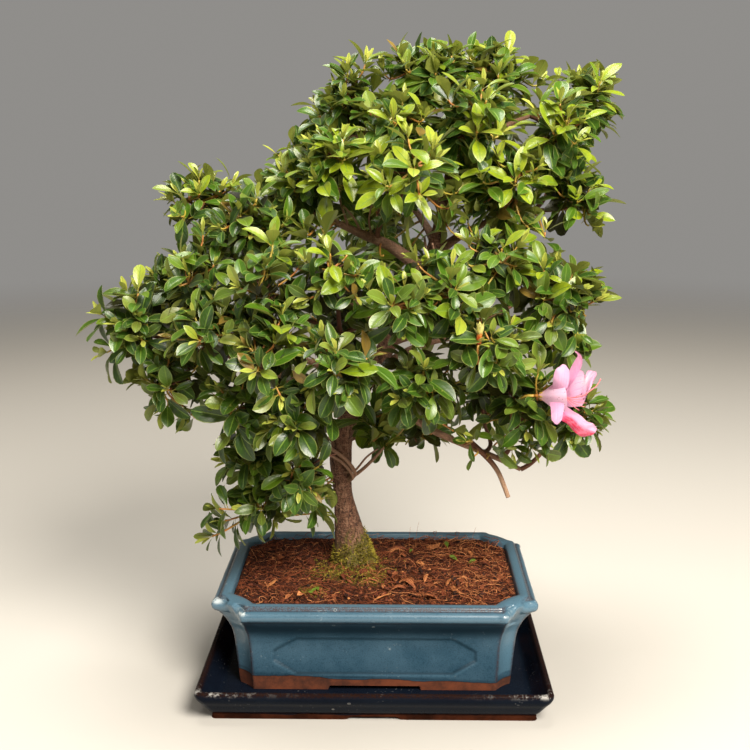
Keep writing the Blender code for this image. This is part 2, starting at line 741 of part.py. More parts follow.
def whorl_directions(centre, rng):
    """Ways out of a spray, the best first: outward from the crown's middle and up, then round that."""
    outward = centre - CROWN_MIDDLE
    outward.z *= CROWN_FLATTEN
    outward = outward.normalized() + Vector((0, 0, SPRAY_UPTURN))
    outward.normalize()
    frame = outward.to_track_quat("Z", "Y")
    start = rng.uniform(0, math.tau)
    for step in range(WHORL_TRIES):
        polar = WHORL_FIRST_ANGLE + (WHORL_WIDEST_ANGLE - WHORL_FIRST_ANGLE) * math.sqrt(step / WHORL_TRIES)
        around = start + GOLDEN_ANGLE * step
        flat = Vector((math.cos(around), math.sin(around), 0)) * math.sin(polar)
        yield frame @ (flat + Vector((0, 0, math.cos(polar))))


def build_sprays(parts, cores, core_objects, fixed):
    """Set whorls of leaves on each core where they cross nothing, and grow them together."""
    scraps = collection("whorls")
    placed = []
    for index, core in enumerate(core_objects):
        rng = random.Random(100 + index)
        centre, half = cores[index]
        surface = tree_of(core)
        others = [tree for number, tree in fixed.items() if number != index]
        own = 0
        wanted = WHORLS_LARGE if half.x > LARGE_SPRAY else WHORLS_SMALL
        for way in whorl_directions(centre, rng):
            if own == wanted:
                break
            hit = surface.ray_cast(centre + way * half.length, -way)
            points, faces, rise = whorl(rng)
            tilt = (way + Vector((0, 0, WHORL_UPTURN))).to_track_quat("Z", "Y")
            foot = hit[0] + tilt @ Vector((0, 0, rise))
            placing = Matrix.Translation(foot) @ tilt.to_matrix().to_4x4()
            points = [placing @ point for point in points]
            tree = BVHTree.FromPolygons(points, faces)
            if any(tree.overlap(other) for other in others + placed):
                continue
            if not clear_of_cores(points[:-1], WHORL_CLEAR, cores, index):
                continue
            shape = bmesh.new()
            verts = [shape.verts.new(point) for point in points]
            for face in faces:
                shape.faces.new([verts[corner] for corner in face])
            mesh_object(f"whorl_{own}", shape, "leaf", scraps)
            placed.append(tree)
            own += 1
        unite(core, scraps)


def build_flower(parts):
    """One open bloom: stalk, funnel with five lobes, and the stamens and style that stand out of it."""
    scraps = collection("flower pieces")
    around = LOBES * LOBE_COLUMNS
    rim_height = COROLLA_ROWS[-1][0]
    shape = bmesh.new()
    grid = []
    for height, cleft, tip in COROLLA_ROWS:
        ring = []
        for step in range(around):
            angle = math.tau * step / around
            lobe = abs(math.cos(LOBES / 2 * angle)) ** LOBE_ROUNDNESS
            radius = cleft + (tip - cleft) * lobe
            droop = LOWER_LIP_DROOP * math.cos(angle) * height / rim_height
            ring.append(shape.verts.new((radius * math.cos(angle), radius * math.sin(angle), height + droop)))
        grid.append(ring)
    for low, high in zip(grid, grid[1:]):
        for here in range(around):
            there = (here + 1) % around
            shape.faces.new((low[here], low[there], high[there], high[here]))
    corolla = mesh_object("corolla", shape, "petal", scraps)
    wall = corolla.modifiers.new("petal wall", "SOLIDIFY")
    wall.thickness = PETAL_THICK
    wall.offset = 0.0
    apply_modifiers(corolla)
    heights, radii = zip(*STALK)
    bloom = tube("flower", [Vector((0, 0, height)) for height in heights], radii, 0, "petal", parts)
    for index in range(STAMENS):
        angle = math.tau * index / STAMENS
        reach = STAMEN_REACH if index else STYLE_REACH
        side = Vector((math.cos(angle), math.sin(angle), 0))
        path = [side * away + Vector((0, 0, height or reach)) for away, height in STAMEN_ROUTE]
        tube(f"stamen_{index}", path, STAMEN_RADII, 0, "petal", scraps)
    unite(bloom, scraps)
    turn = FLOWER_AXIS.to_track_quat("Z", "Y").to_matrix().to_4x4()
    bloom.data.transform(Matrix.Translation(FLOWER_SEAT) @ turn)
    return bloom


def build_bud(parts):
    """A swelling bud on its short stalk: a pointed spindle."""
    rings = []
    for height, radius in BUD_ROWS:
        ring = []
        for step in range(BUD_SIDES):
            angle = math.tau * step / BUD_SIDES
            ring.append(Vector((radius * math.cos(angle), radius * math.sin(angle), height)) * MM)
        rings.append(ring)
    bud = loft("flower_bud", rings, "bud", parts)
    turn = BUD_AXIS.to_track_quat("Z", "Y").to_matrix().to_4x4()
    bud.data.transform(Matrix.Translation(BUD_SEAT) @ turn)
    return bud


def main():
    clear_scene()
    parts = collection("azalea bonsai")
    cutters = collection("cutters")
    build_saucer(parts, cutters)
    build_pot(parts, cutters)
    build_soil(parts, cutters)
    cores = []
    core_objects = []
    for region, sprays in SPRAYS.items():
        for number, spray in enumerate(sprays, 1):
            rng = random.Random(len(cores))
            centre = Vector(spray[:3]) * MM
            half = Vector(spray[3:]) * MM
            core_objects.append(spray_core(f"spray_{region}_{number}", centre, half, rng, parts))
            cores.append((centre, half))
    blooms = [
        (FLOWER_SEAT + FLOWER_AXIS * FLOWER_REACH, Vector([FLOWER_REACH] * 3) / CORE_SHARE),
        (BUD_SEAT + BUD_AXIS * BUD_REACH, Vector([BUD_REACH] * 3) / CORE_SHARE),
    ]
    wood = build_wood(parts, cores, core_objects, blooms)
    fixed = {index: tree_of(core) for index, core in enumerate(core_objects)}
    fixed["wood"] = tree_of(wood)
    fixed["flower"] = tree_of(build_flower(parts))
    fixed["bud"] = tree_of(build_bud(parts))
    build_sprays(parts, cores, core_objects, fixed)


main()
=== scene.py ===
"""Azalea bonsai in a blue glazed pot on a dark glazed saucer: the finish of every piece.

Metres, +Z up, +Y away from the front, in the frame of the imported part.
"""

import math
import random

import bpy
import numpy as np
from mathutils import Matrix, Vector, noise


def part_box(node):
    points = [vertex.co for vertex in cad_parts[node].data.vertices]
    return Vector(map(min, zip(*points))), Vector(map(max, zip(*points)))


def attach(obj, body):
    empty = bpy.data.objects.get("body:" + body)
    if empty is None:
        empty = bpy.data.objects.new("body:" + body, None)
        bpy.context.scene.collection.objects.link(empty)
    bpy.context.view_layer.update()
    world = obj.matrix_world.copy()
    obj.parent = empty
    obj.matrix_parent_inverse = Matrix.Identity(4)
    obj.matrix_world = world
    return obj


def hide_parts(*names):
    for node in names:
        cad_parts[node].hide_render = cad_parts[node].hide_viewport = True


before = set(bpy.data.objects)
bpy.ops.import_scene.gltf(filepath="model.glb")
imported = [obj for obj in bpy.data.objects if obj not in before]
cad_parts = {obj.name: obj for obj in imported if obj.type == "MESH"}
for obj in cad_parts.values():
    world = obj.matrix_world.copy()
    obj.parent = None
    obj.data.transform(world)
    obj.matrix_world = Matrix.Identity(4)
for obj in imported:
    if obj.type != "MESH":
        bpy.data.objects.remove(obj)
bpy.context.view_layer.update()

# Camera: at the photograph's viewpoint, just above the crown's middle and looking down on the pot.
# The lens is worked out from the pot's rim, whose length and corners are known.
VIEWPOINT = (0.01763, -0.93206, 0.45724)
PITCH_DOWN = 11.76
TURN_LEFT = 1.09
ROLL = 0.12
LENS = 53.33

camera = bpy.data.objects.new("camera", bpy.data.cameras.new("camera"))
camera.data.lens = LENS
camera.data.sensor_width = 36.0
camera.location = VIEWPOINT
camera.rotation_euler = (math.radians(90 - PITCH_DOWN), math.radians(ROLL), math.radians(TURN_LEFT))
bpy.context.scene.collection.objects.link(camera)
bpy.context.scene.camera = camera


# Studio: a pale floor that fades into the pale surroundings, one large soft light high on the right,
# a broad one overhead and a weak one on the left. None of it is part of the plant.
FLOOR_RADIUS = 4.0
FLOOR_FADE = (1.3, 3.2)
FLOOR_COLOUR = (0.46, 0.44, 0.41, 1.0)
BACKDROP_COLOUR = (0.66, 0.64, 0.61, 1.0)
BACKDROP_STRENGTH = 0.42
SURROUND_COLOUR = (0.72, 0.64, 0.50, 1.0)
SURROUND_STRENGTH = 0.18
# Each light: place, size across, watts, colour
LIGHTS = {
    "key": ((0.72, -1.25, 1.45), 0.95, 92, (1.0, 0.94, 0.84)),
    "overhead": ((-0.1, 0.1, 1.9), 0.9, 36, (1.0, 0.96, 0.88)),
    "fill": ((-1.5, -0.9, 0.9), 1.1, 6.0, (1.0, 0.97, 0.92)),
}
LIGHTS_AIM = Vector((0.0, 0.0, 0.28))


def add(tree, kind, inputs=None, **settings):
    """A shader node in a tree, with its settings and with its inputs set to values or linked."""
    made = tree.nodes.new("ShaderNode" + kind)
    for name, value in settings.items():
        setattr(made, name, value)
    for name, value in (inputs or {}).items():
        if isinstance(value, bpy.types.NodeSocket):
            tree.links.new(value, made.inputs[name])
        else:
            made.inputs[name].default_value = value
    return made


def maths(tree, operation, first, second=0.0, clamp=False):
    """One sum on two numbers or sockets."""
    return add(tree, "Math", {0: first, 1: second}, operation=operation, use_clamp=clamp).outputs[0]


def between(tree, value, low, high, out_low=0.0, out_high=1.0):
    """A value carried smoothly from one range to another."""
    wanted = {"Value": value, "From Min": low, "From Max": high, "To Min": out_low, "To Max": out_high}
    return add(tree, "MapRange", wanted, interpolation_type="SMOOTHSTEP").outputs["Result"]


def blend_colours(tree, share, first, second, how="MIX"):
    """Two colours mixed by a share."""
    wanted = {0: share, 6: first, 7: second}
    return add(tree, "Mix", wanted, data_type="RGBA", blend_type=how).outputs[2]


def speckle(tree, place, scale, detail=2.0, roughness=0.5):
    """Plain noise from 0 to 1."""
    wanted = {"Vector": place, "Scale": scale, "Detail": detail, "Roughness": roughness}
    return add(tree, "TexNoise", wanted).outputs["Fac"]


def new_finish(name, **settings):
    """A material with one Principled shader, whose sockets are set by name; returns it, its tree and the shader."""
    made = bpy.data.materials.new(name)
    made.use_nodes = True
    shader = made.node_tree.nodes["Principled BSDF"]
    for socket, value in settings.items():
        shader.inputs[socket.replace("_", " ")].default_value = value
    return made, made.node_tree, shader


def link_finish(tree, shader, **sockets):
    """Link outputs to a shader's inputs, named with _ for each space."""
    for socket, source in sockets.items():
        tree.links.new(source, shader.inputs[socket.replace("_", " ")])


def mesh_of(name, points, faces, finish, smooth_under=180.0, **masks):
    """An object from points and faces; masks are kept at its points, as numbers or as vectors."""
    mesh = bpy.data.meshes.new(name)
    points = np.asarray(points, np.float32)
    mesh.vertices.add(len(points))
    mesh.vertices.foreach_set("co", points.ravel())
    groups = [np.asarray(group, np.int32) for group in faces if len(group)]
    sizes = np.concatenate([np.full(len(group), group.shape[1]) for group in groups])
    mesh.loops.add(int(sizes.sum()))
    mesh.loops.foreach_set("vertex_index", np.concatenate([group.ravel() for group in groups]))
    mesh.polygons.add(len(sizes))
    mesh.polygons.foreach_set("loop_start", (np.cumsum(sizes) - sizes).astype(np.int32))
    mesh.update(calc_edges=True)
    mesh.validate()
    for mask, values in masks.items():
        values = np.asarray(values, np.float32)
        if values.ndim == 1:
            mesh.attributes.new(mask, "FLOAT", "POINT").data.foreach_set("value", values)
        else:
            mesh.attributes.new(mask, "FLOAT_VECTOR", "POINT").data.foreach_set("vector", values.ravel())
    mesh.shade_smooth()
    if smooth_under < 180.0:
        mesh.set_sharp_from_angle(angle=math.radians(smooth_under))
    mesh.materials.append(finish)
    made = bpy.data.objects.new(name, mesh)
    bpy.context.scene.collection.objects.link(made)
    return made


turns = np.linspace(0, math.tau, 96, endpoint=False)
rim = np.stack([np.cos(turns), np.sin(turns), np.zeros(96)], axis=1) * FLOOR_RADIUS
floor_finish, tree, shader = new_finish("studio_floor", Base_Color=FLOOR_COLOUR, Roughness=0.85)
place = add(tree, "TexCoord").outputs["Object"]
distance = add(tree, "VectorMath", {0: place}, operation="LENGTH").outputs["Value"]
link_finish(tree, shader, Alpha=between(tree, distance, *FLOOR_FADE, 1.0, 0.0))
floor = mesh_of("floor", rim, [[list(range(96))]], floor_finish)

world = bpy.data.worlds.new("surroundings")
world.use_nodes = True
tree = world.node_tree
lighting = tree.nodes["Background"]
lighting.inputs["Color"].default_value = SURROUND_COLOUR
lighting.inputs["Strength"].default_value = SURROUND_STRENGTH
backdrop = add(tree, "Background", {"Color": BACKDROP_COLOUR, "Strength": BACKDROP_STRENGTH})
seen = add(tree, "LightPath").outputs["Is Camera Ray"]
both = add(tree, "MixShader", {0: seen, 1: lighting.outputs[0], 2: backdrop.outputs[0]})
tree.links.new(both.outputs[0], tree.nodes["World Output"].inputs["Surface"])
bpy.context.scene.world = world
for name, (spot, size, watts, colour) in LIGHTS.items():
    lamp = bpy.data.lights.new(name, "AREA")
    lamp.shape = "DISK"
    lamp.size = size
    lamp.energy = watts
    lamp.color = colour
    holder = bpy.data.objects.new(name, lamp)
    holder.location = spot
    holder.rotation_euler = (Vector(spot) - LIGHTS_AIM).to_track_quat("Z", "Y").to_euler()
    bpy.context.scene.collection.objects.link(holder)
bpy.context.scene.view_settings.view_transform = "Standard"


# Saucer: a slip-cast stoneware tray with a flared wall on a low foot ring, glazed almost black.
# The glaze runs thin and brown over the rim, and the foot strip, wiped clean, shows the clay.
SAUCER_HALF = (0.1445, 0.1195)
SAUCER_CORNER = 0.008
SAUCER_SHARPEST = 0.003
SAUCER_ARCH = 0.0215
SAUCER_FOOT_LIFT = 0.0025
SAUCER_WAVER = 0.00035
# Up the outside, over the rim and down to the inner floor: height, inset from the rim's outline
SAUCER_PROFILE = (
    (0.0026, 0.0280), (0.0024, 0.0272), (0.0000, 0.0270), (0.0000, 0.0134), (0.0006, 0.0127),
    (0.0030, 0.0125), (0.0042, 0.0129), (0.0052, 0.0121), (0.0072, 0.0101), (0.0112, 0.0073),
    (0.0150, 0.0048), (0.0182, 0.0024), (0.0208, 0.0009), (0.0232, 0.0001), (0.0252, 0.0000),
    (0.0268, 0.0007), (0.0276, 0.0022), (0.0275, 0.0036), (0.0264, 0.0047), (0.0240, 0.0058),
    (0.0200, 0.0080), (0.0160, 0.0104), (0.0125, 0.0128), (0.0104, 0.0150), (0.0095, 0.0178),
    (0.0093, 0.0230), (0.0093, 0.0420),
)
SAUCER_STEPS = 3
SIDE_STEPS = (70, 56)
CORNER_STEPS = 10
CLAY_TOP = 0.0046
NAVY = (0.0035, 0.0055, 0.0110, 1.0)
NAVY_LIT = (0.0045, 0.0075, 0.0140, 1.0)
BROWN_RIM = (0.0150, 0.0060, 0.0035, 1.0)
DARK_CLAY = (0.0330, 0.0085, 0.0035, 1.0)
# Pale glaze specks; the same white paints the glints on the saucer's rim
PALE_SPECK_AND_GLINT = (0.45, 0.44, 0.42, 1.0)


def smooth_rows(rows, steps):
    """Rows of numbers with more rows between them, on a smooth curve through them all."""
    rows = np.asarray(rows, float)
    before = np.vstack([rows[:1], rows[:-2]])
    start, end = rows[:-1], rows[1:]
    after = np.vstack([rows[2:], rows[-1:]])
    made = []
    for step in range(steps):
        t = step / steps
        made.append(
            start + 0.5 * t * ((end - before) + t * (2 * before - 5 * start + 4 * end - after
                               + t * (3 * (start - end) + after - before)))
        )
    return np.vstack([np.stack(made, axis=1).reshape(-1, rows.shape[1]), rows[-1:]])


def round_ring(half_x, half_y, radius):
    """A rectangle's outline with round corners, anticlockwise from the right side's lower end."""
    ring = []
    for index, (sign_x, sign_y) in enumerate(((1, -1), (1, 1), (-1, 1), (-1, -1))):
        centre = np.array((sign_x * (half_x - radius), sign_y * (half_y - radius)))
        sweep = math.pi / 2 * (index - 1 + np.linspace(0, 1, CORNER_STEPS))
        ring.append(centre + radius * np.stack([np.cos(sweep), np.sin(sweep)], axis=1))
        following = ((1, 1), (-1, 1), (-1, -1), (1, -1))[index]
        there = np.array((following[0] * (half_x - radius), following[1] * (half_y - radius)))
        angle = math.pi / 2 * index
        end = there + radius * np.array((math.cos(angle), math.sin(angle)))
        share = np.linspace(0, 1, SIDE_STEPS[(index + 1) % 2] + 1)[1:-1, None]
        ring.append(ring[-1][-1] * (1 - share) + end * share)
    return np.vstack(ring)


def skin(rows, cap_first=False, cap_last=False):
    """Faces between rings of equally many points, with a cap on the first or the last ring if wanted."""
    count, size = rows.shape[:2]
    here = np.arange(size)
    there = (here + 1) % size
    quads = [np.stack([row * size + here, row * size + there, (row + 1) * size + there,
                       (row + 1) * size + here], axis=1) for row in range(count - 1)]
    faces = [np.vstack(quads)]
    if cap_first:
        faces.append(here[None, ::-1])
    if cap_last:
        faces.append((here + (count - 1) * size)[None, :])
    return faces


def fired_glaze():
    """Glaze that breaks to a thin colour where an edge mask says so, deepens where it pools and where shade is painted,
    is flecked and pinholed, takes painted glints, and stops at bare clay. Used by saucer and pot."""
    group = bpy.data.node_groups.new("fired_glaze", "ShaderNodeTree")
    wanted = (
        ("Body", "Color"), ("Body Lit", "Color"), ("Raised", "Color"), ("Thin", "Color"), ("Pooled", "Color"),
        ("Clay", "Color"), ("Fleck", "Color"), ("High", "Float"), ("Edge", "Float"), ("Pool", "Float"),
        ("Bare", "Float"), ("Worn", "Float"), ("Fleck Share", "Float"), ("Gloss", "Float"), ("Blotch Scale", "Float"),
    )
    for name, kind in wanted:
        group.interface.new_socket(name=name, in_out="INPUT", socket_type="NodeSocket" + kind)
    for name, kind in (("Colour", "Color"), ("Roughness", "Float"), ("Height", "Float")):
        group.interface.new_socket(name=name, in_out="OUTPUT", socket_type="NodeSocket" + kind)
    given = group.nodes.new("NodeGroupInput").outputs
    place = add(group, "TexCoord").outputs["Object"]
    blotch = speckle(group, place, given["Blotch Scale"], 3.0, 0.55)
    colour = blend_colours(group, between(group, blotch, 0.36, 0.66), given["Body"], given["Body Lit"])
    grain = speckle(group, place, 950.0, 2.0, 0.7)
    colour = blend_colours(group, given["High"], colour, given["Raised"])
    colour = blend_colours(group, between(group, grain, 0.42, 0.62, 0.0, 0.40), colour, given["Body Lit"])
    colour = blend_colours(group, between(group, grain, 0.48, 0.34, 0.0, 0.40), colour, given["Pooled"])
    # The pooled colour goes where the glaze pools and also where shade is painted
    colour = blend_colours(group, given["Pool"], colour, given["Pooled"])
    ragged = maths(group, "MULTIPLY", given["Edge"], between(group, grain, 0.36, 0.60, 0.15, 1.35))
    colour = blend_colours(group, maths(group, "MINIMUM", ragged, 1.0), colour, given["Thin"])
    cells = add(group, "TexVoronoi", {"Vector": place, "Scale": 64.0}, feature="F1")
    chosen = add(group, "SeparateColor", {"Color": cells.outputs["Color"]}).outputs[0]
    chosen = maths(group, "GREATER_THAN", chosen, 0.72)
    hole = between(group, cells.outputs["Distance"], 0.055, 0.035)
    halo = between(group, cells.outputs["Distance"], 0.110, 0.060)
    colour = blend_colours(group, maths(group, "MULTIPLY", maths(group, "MULTIPLY", halo, chosen), 0.35),
                           colour, given["Fleck"])
    colour = blend_colours(group, maths(group, "MULTIPLY", hole, chosen), colour, given["Pooled"])
    flecks = between(group, speckle(group, place, 420.0, 1.0, 0.4), 0.66, 0.72)
    cloud = between(group, speckle(group, place, 38.0, 2.0, 0.6), 0.50, 0.66)
    flecks = maths(group, "MULTIPLY", maths(group, "MULTIPLY", flecks, cloud), given["Fleck Share"])
    colour = blend_colours(group, flecks, colour, given["Fleck"])
    # Painted glints: the glint mask, broken into patches, whitens the glaze where a light's reflection is painted
    glint_patches = between(group, speckle(group, place, 90.0, 5.0, 0.75), 0.50, 0.60)
    worn = maths(group, "MULTIPLY", given["Worn"], glint_patches)
    colour = blend_colours(group, maths(group, "MINIMUM", worn, 1.0), colour, given["Fleck"])
    dust = between(group, speckle(group, place, 34.0, 7.0, 0.70), 0.34, 0.66, 0.40, 1.60)
    clay = add(group, "VectorMath", {0: given["Clay"], "Scale": dust}, operation="SCALE").outputs["Vector"]
    colour = blend_colours(group, given["Bare"], colour, clay)
    rough = maths(group, "ADD", given["Gloss"], between(group, grain, 0.3, 0.7, -0.05, 0.06))
    rough = maths(group, "ADD", rough, maths(group, "MULTIPLY", given["Bare"], 0.55), clamp=True)
    rise = maths(group, "MULTIPLY", maths(group, "SUBTRACT", 1.0, given["Bare"]), 1.0)
    rise = maths(group, "ADD", rise, maths(group, "MULTIPLY", blotch, 0.5))
    rise = maths(group, "ADD", rise, maths(group, "MULTIPLY", grain, 0.10))
    rise = maths(group, "SUBTRACT", rise, maths(group, "MULTIPLY", maths(group, "MULTIPLY", hole, chosen), 0.8))
    ends = group.nodes.new("NodeGroupOutput").inputs
    group.links.new(colour, ends["Colour"])
    group.links.new(rough, ends["Roughness"])
    group.links.new(rise, ends["Height"])
    return group


def glazed(name, glaze, bare_below, slope, coat, shine, refraction, height, **values):
    """A glazed clay finish with its edge, pooling and painted shade, high and painted glint masks; clay shows below a
    wandering line.
    """
    finish, tree, shader = new_finish(
        name, Coat_Weight=coat, Coat_Roughness=0.05, Specular_IOR_Level=shine, IOR=refraction
    )
    place = add(tree, "TexCoord").outputs["Object"]
    axes = add(tree, "SeparateXYZ", {"Vector": place}).outputs
    wander = between(tree, speckle(tree, place, 22.0, 3.0, 0.5), 0.3, 0.7, -0.0012, 0.0012)
    line = maths(tree, "ADD", maths(tree, "MULTIPLY", axes["X"], slope), bare_below)
    above = maths(tree, "SUBTRACT", axes["Z"], maths(tree, "ADD", line, wander))
    outside = add(tree, "Attribute", attribute_name="outside").outputs["Fac"]
    bare = maths(tree, "MULTIPLY", between(tree, above, 0.0003, -0.0003), outside)
    node = tree.nodes.new("ShaderNodeGroup")
    node.node_tree = glaze
    for socket, value in values.items():
        node.inputs[socket.replace("_", " ")].default_value = value
    for mask in ("edge", "pool", "high", "worn"):
        tree.links.new(add(tree, "Attribute", attribute_name=mask).outputs["Fac"], node.inputs[mask.title()])
    tree.links.new(bare, node.inputs["Bare"])
    bump = add(tree, "Bump", {"Height": node.outputs["Height"], "Strength": 0.6, "Distance": height})
    link_finish(tree, shader, Base_Color=node.outputs["Colour"], Roughness=node.outputs["Roughness"],
                Normal=bump.outputs["Normal"])
    return finish


glaze = fired_glaze()
profile = smooth_rows(SAUCER_PROFILE, SAUCER_STEPS)
rows = []
for z, inset in profile:
    corner = max(SAUCER_CORNER - inset / 3, SAUCER_SHARPEST)
    ring = round_ring(SAUCER_HALF[0] - inset, SAUCER_HALF[1] - inset, corner)
    rows.append(np.column_stack([ring, np.full(len(ring), max(z, 0.0))]))
rows = np.array(rows)
arch = np.clip((SAUCER_ARCH + 0.0008 - np.abs(rows[:, :, 0])) / 0.0016, 0, 1)
low = rows[:, :, 2] < SAUCER_FOOT_LIFT
rows[:, :, 2] = np.where(low, rows[:, :, 2] + (SAUCER_FOOT_LIFT - rows[:, :, 2]) * arch, rows[:, :, 2])
waver = np.array([noise.noise(Vector(point) * 24.0) for point in rows.reshape(-1, 3)]).reshape(rows.shape[:2])
rows[:, :, 2] += SAUCER_WAVER * waver * np.clip((rows[:, :, 2] - 0.012) / 0.01, 0, 1)
rim_mask = np.exp(-((profile[:, 0] - 0.0272) / 0.0020) ** 2) * (profile[:, 1] < 0.008)
crease = np.exp(-((profile[:, 0] - 0.0050) / 0.0012) ** 2) * (profile[:, 1] < 0.016)
edge_mask = np.repeat(np.maximum(rim_mask, 0.6 * crease), rows.shape[1])
outer = (np.arange(len(profile)) < SAUCER_STEPS * 15).astype(float)
flat = rows.reshape(-1, 3)
# Painted glints: white speckled highlights on the rim near the corners, standing in for reflections of the lights
corner_glint = np.exp(-(SAUCER_HALF[0] - np.abs(flat[:, 0])) / 0.022 - (SAUCER_HALF[1] - np.abs(flat[:, 1])) / 0.006)
worn = np.repeat(rim_mask, rows.shape[1]) * np.clip(corner_glint * 1.2, 0, 1)
saucer_finish = glazed(
    "saucer_glaze", glaze, CLAY_TOP, 0.0, 0.0, 0.25, 1.16, 0.0004,
    Body=NAVY, Body_Lit=NAVY_LIT, Raised=NAVY_LIT, Thin=BROWN_RIM, Pooled=(0.002, 0.003, 0.006, 1.0),
    Clay=DARK_CLAY, Fleck=PALE_SPECK_AND_GLINT, Fleck_Share=0.12, Gloss=0.14, Blotch_Scale=26.0,
)
saucer = mesh_of(
    "saucer_tray", flat, skin(rows, True, True), saucer_finish, 50, edge=edge_mask,
    pool=np.zeros(len(flat)), high=np.zeros(len(flat)), worn=worn, outside=np.repeat(outer, rows.shape[1]),
)
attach(saucer, "root")
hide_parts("saucer")


# Pot: a press-moulded stoneware trough with fluted corners, glazed blue outside and over the lip.
# A rolled rail ends in a knob at each corner, and each wall has a shallow eight-sided panel.
POT_HALF = (0.135, 0.097)
POT_DEPTH_SHARE = 1.07
POT_FOOT = 0.0096
# Up the wall, over the rail, the groove and the rim, and down inside: height, inset from the lip's
# outline, corner cut, depth of the corner flute, squareness of the flute, rounding of the knobs
POT_PROFILE = (
    (0.0098, 0.0206, 0.0168, 0.0012, 2.0, 3), (0.0110, 0.0203, 0.0170, 0.0016, 2.0, 3),
    (0.0200, 0.0195, 0.0174, 0.0019, 2.0, 3), (0.0300, 0.0186, 0.0179, 0.0022, 2.0, 3),
    (0.0400, 0.0178, 0.0184, 0.0024, 2.0, 3), (0.0500, 0.0169, 0.0190, 0.0026, 2.0, 3),
    (0.0560, 0.0160, 0.0194, 0.0027, 2.0, 3), (0.0610, 0.0148, 0.0199, 0.0028, 2.0, 3),
    (0.0655, 0.0130, 0.0205, 0.0030, 2.1, 3), (0.0695, 0.0106, 0.0213, 0.0032, 2.2, 4),
    (0.0728, 0.0080, 0.0222, 0.0036, 2.4, 5), (0.0752, 0.0056, 0.0231, 0.0042, 2.7, 7),
    (0.0768, 0.0044, 0.0238, 0.0044, 3.0, 9), (0.0773, 0.0031, 0.0244, 0.0048, 3.2, 12),
    (0.0783, 0.0016, 0.0250, 0.0052, 3.2, 16), (0.0797, 0.0006, 0.0256, 0.0054, 3.2, 20),
    (0.0814, 0.0001, 0.0260, 0.0054, 3.2, 22), (0.0832, 0.0001, 0.0262, 0.0054, 3.2, 22),
    (0.0849, 0.0008, 0.0262, 0.0052, 3.2, 22), (0.0861, 0.0020, 0.0260, 0.0050, 3.2, 20),
    (0.0867, 0.0033, 0.0255, 0.0048, 3.0, 18), (0.0867, 0.0043, 0.0250, 0.0046, 2.8, 16),
    (0.0868, 0.0050, 0.0246, 0.0044, 2.8, 14), (0.0874, 0.0056, 0.0242, 0.0042, 2.6, 12),
    (0.0885, 0.0060, 0.0238, 0.0038, 2.4, 10), (0.0895, 0.0068, 0.0235, 0.0034, 2.2, 8),
    (0.0900, 0.0084, 0.0231, 0.0030, 2.0, 6), (0.0899, 0.0108, 0.0226, 0.0026, 2.0, 6),
    (0.0893, 0.0132, 0.0220, 0.0024, 2.0, 6), (0.0880, 0.0146, 0.0215, 0.0022, 2.0, 6),
    (0.0860, 0.0152, 0.0210, 0.0020, 2.0, 5), (0.0780, 0.0176, 0.0200, 0.0020, 2.0, 4),
)
POT_STEPS = (1, 6, 6, 6, 6, 4, 4, 3, 3, 3, 3, 2, 2, 2, 2, 2, 2, 2, 2, 2, 2, 2, 2, 2, 2, 2, 2, 2, 2, 2, 1)
POT_SIDES = (118, 186)
FLUTE_STEPS = 26
# The corner strip's own way up past the rail: height, inset, along the same rows
STRIP_FROM = 0.0690
STRIP = ((0.0690, 0.0110), (0.0760, 0.0076), (0.0820, 0.0044), (0.0862, 0.0028), (0.0886, 0.0034), (0.0896, 0.0056))
WALL_CUT_SHARE = 0.78
SIDE_CROWD = 0.62
FOOT_ARCH = (0.038, 0.0228)
FOOT_LIFT = 0.0038
FOOT_WIDTH = 0.013
PANEL_HALF = (0.084, 0.045)
PANEL_SPAN = (0.0245, 0.0575)
PANEL_CUT = (0.0192, 0.0120)
PANEL_SINK = 0.0014
FLOOR_TOP = 0.021
GLAZE_LINE = 0.0196
GLAZE_SLOPE = -0.033
BLUE = (0.021, 0.060, 0.096, 1.0)
BLUE_LIT = (0.044, 0.096, 0.142, 1.0)
BLUE_RAISED_AND_LIT = (0.076, 0.158, 0.222, 1.0)
# The pooled glaze's colour, also used as painted shade under the rail and along the panels' lower edges
BLUE_DEEP = (0.006, 0.018, 0.030, 1.0)
GREY_VIOLET = (0.038, 0.030, 0.038, 1.0)
TERRACOTTA = (0.094, 0.0225, 0.0066, 1.0)
KNOB_SWELL = 0.0020
NOSE = (1.5, 6.0)


def fluted_ring(half_x, half_y, cut_size, dent, square, rounding):
    """The pot's outline at one height, anticlockwise: straight sides and corners cut by a flute."""
    s = np.linspace(0, 1, FLUTE_STEPS)
    hollow = dent * (1 - np.abs(2 * s - 1) ** square)
    corner = np.stack([half_x - s * cut_size, half_y - cut_size + s * cut_size], axis=1)
    corner -= hollow[:, None] / math.sqrt(2)
    ring = []
    for index, (sign_x, sign_y) in enumerate(((1, 1), (-1, 1), (-1, -1), (1, -1))):
        turned = corner * (sign_x, sign_y)
        ring.append(turned if sign_x * sign_y > 0 else turned[::-1])
    made = []
    for index in range(4):
        start, end = ring[index][-1], ring[(index + 1) % 4][0]
        count = POT_SIDES[(index + 1) % 2]
        share = np.linspace(-1, 1, count + 1)[1:-1]
        share = np.sign(share) * (SIDE_CROWD * np.abs(share) + (1 - SIDE_CROWD) * np.sin(np.abs(share) * math.pi / 2))
        share = (share[:, None] + 1) / 2
        made += [ring[index], start * (1 - share) + end * share]
    made = np.vstack(made)
    for _ in range(int(rounding)):
        made = 0.5 * made + 0.25 * (np.roll(made, 1, axis=0) + np.roll(made, -1, axis=0))
    return made


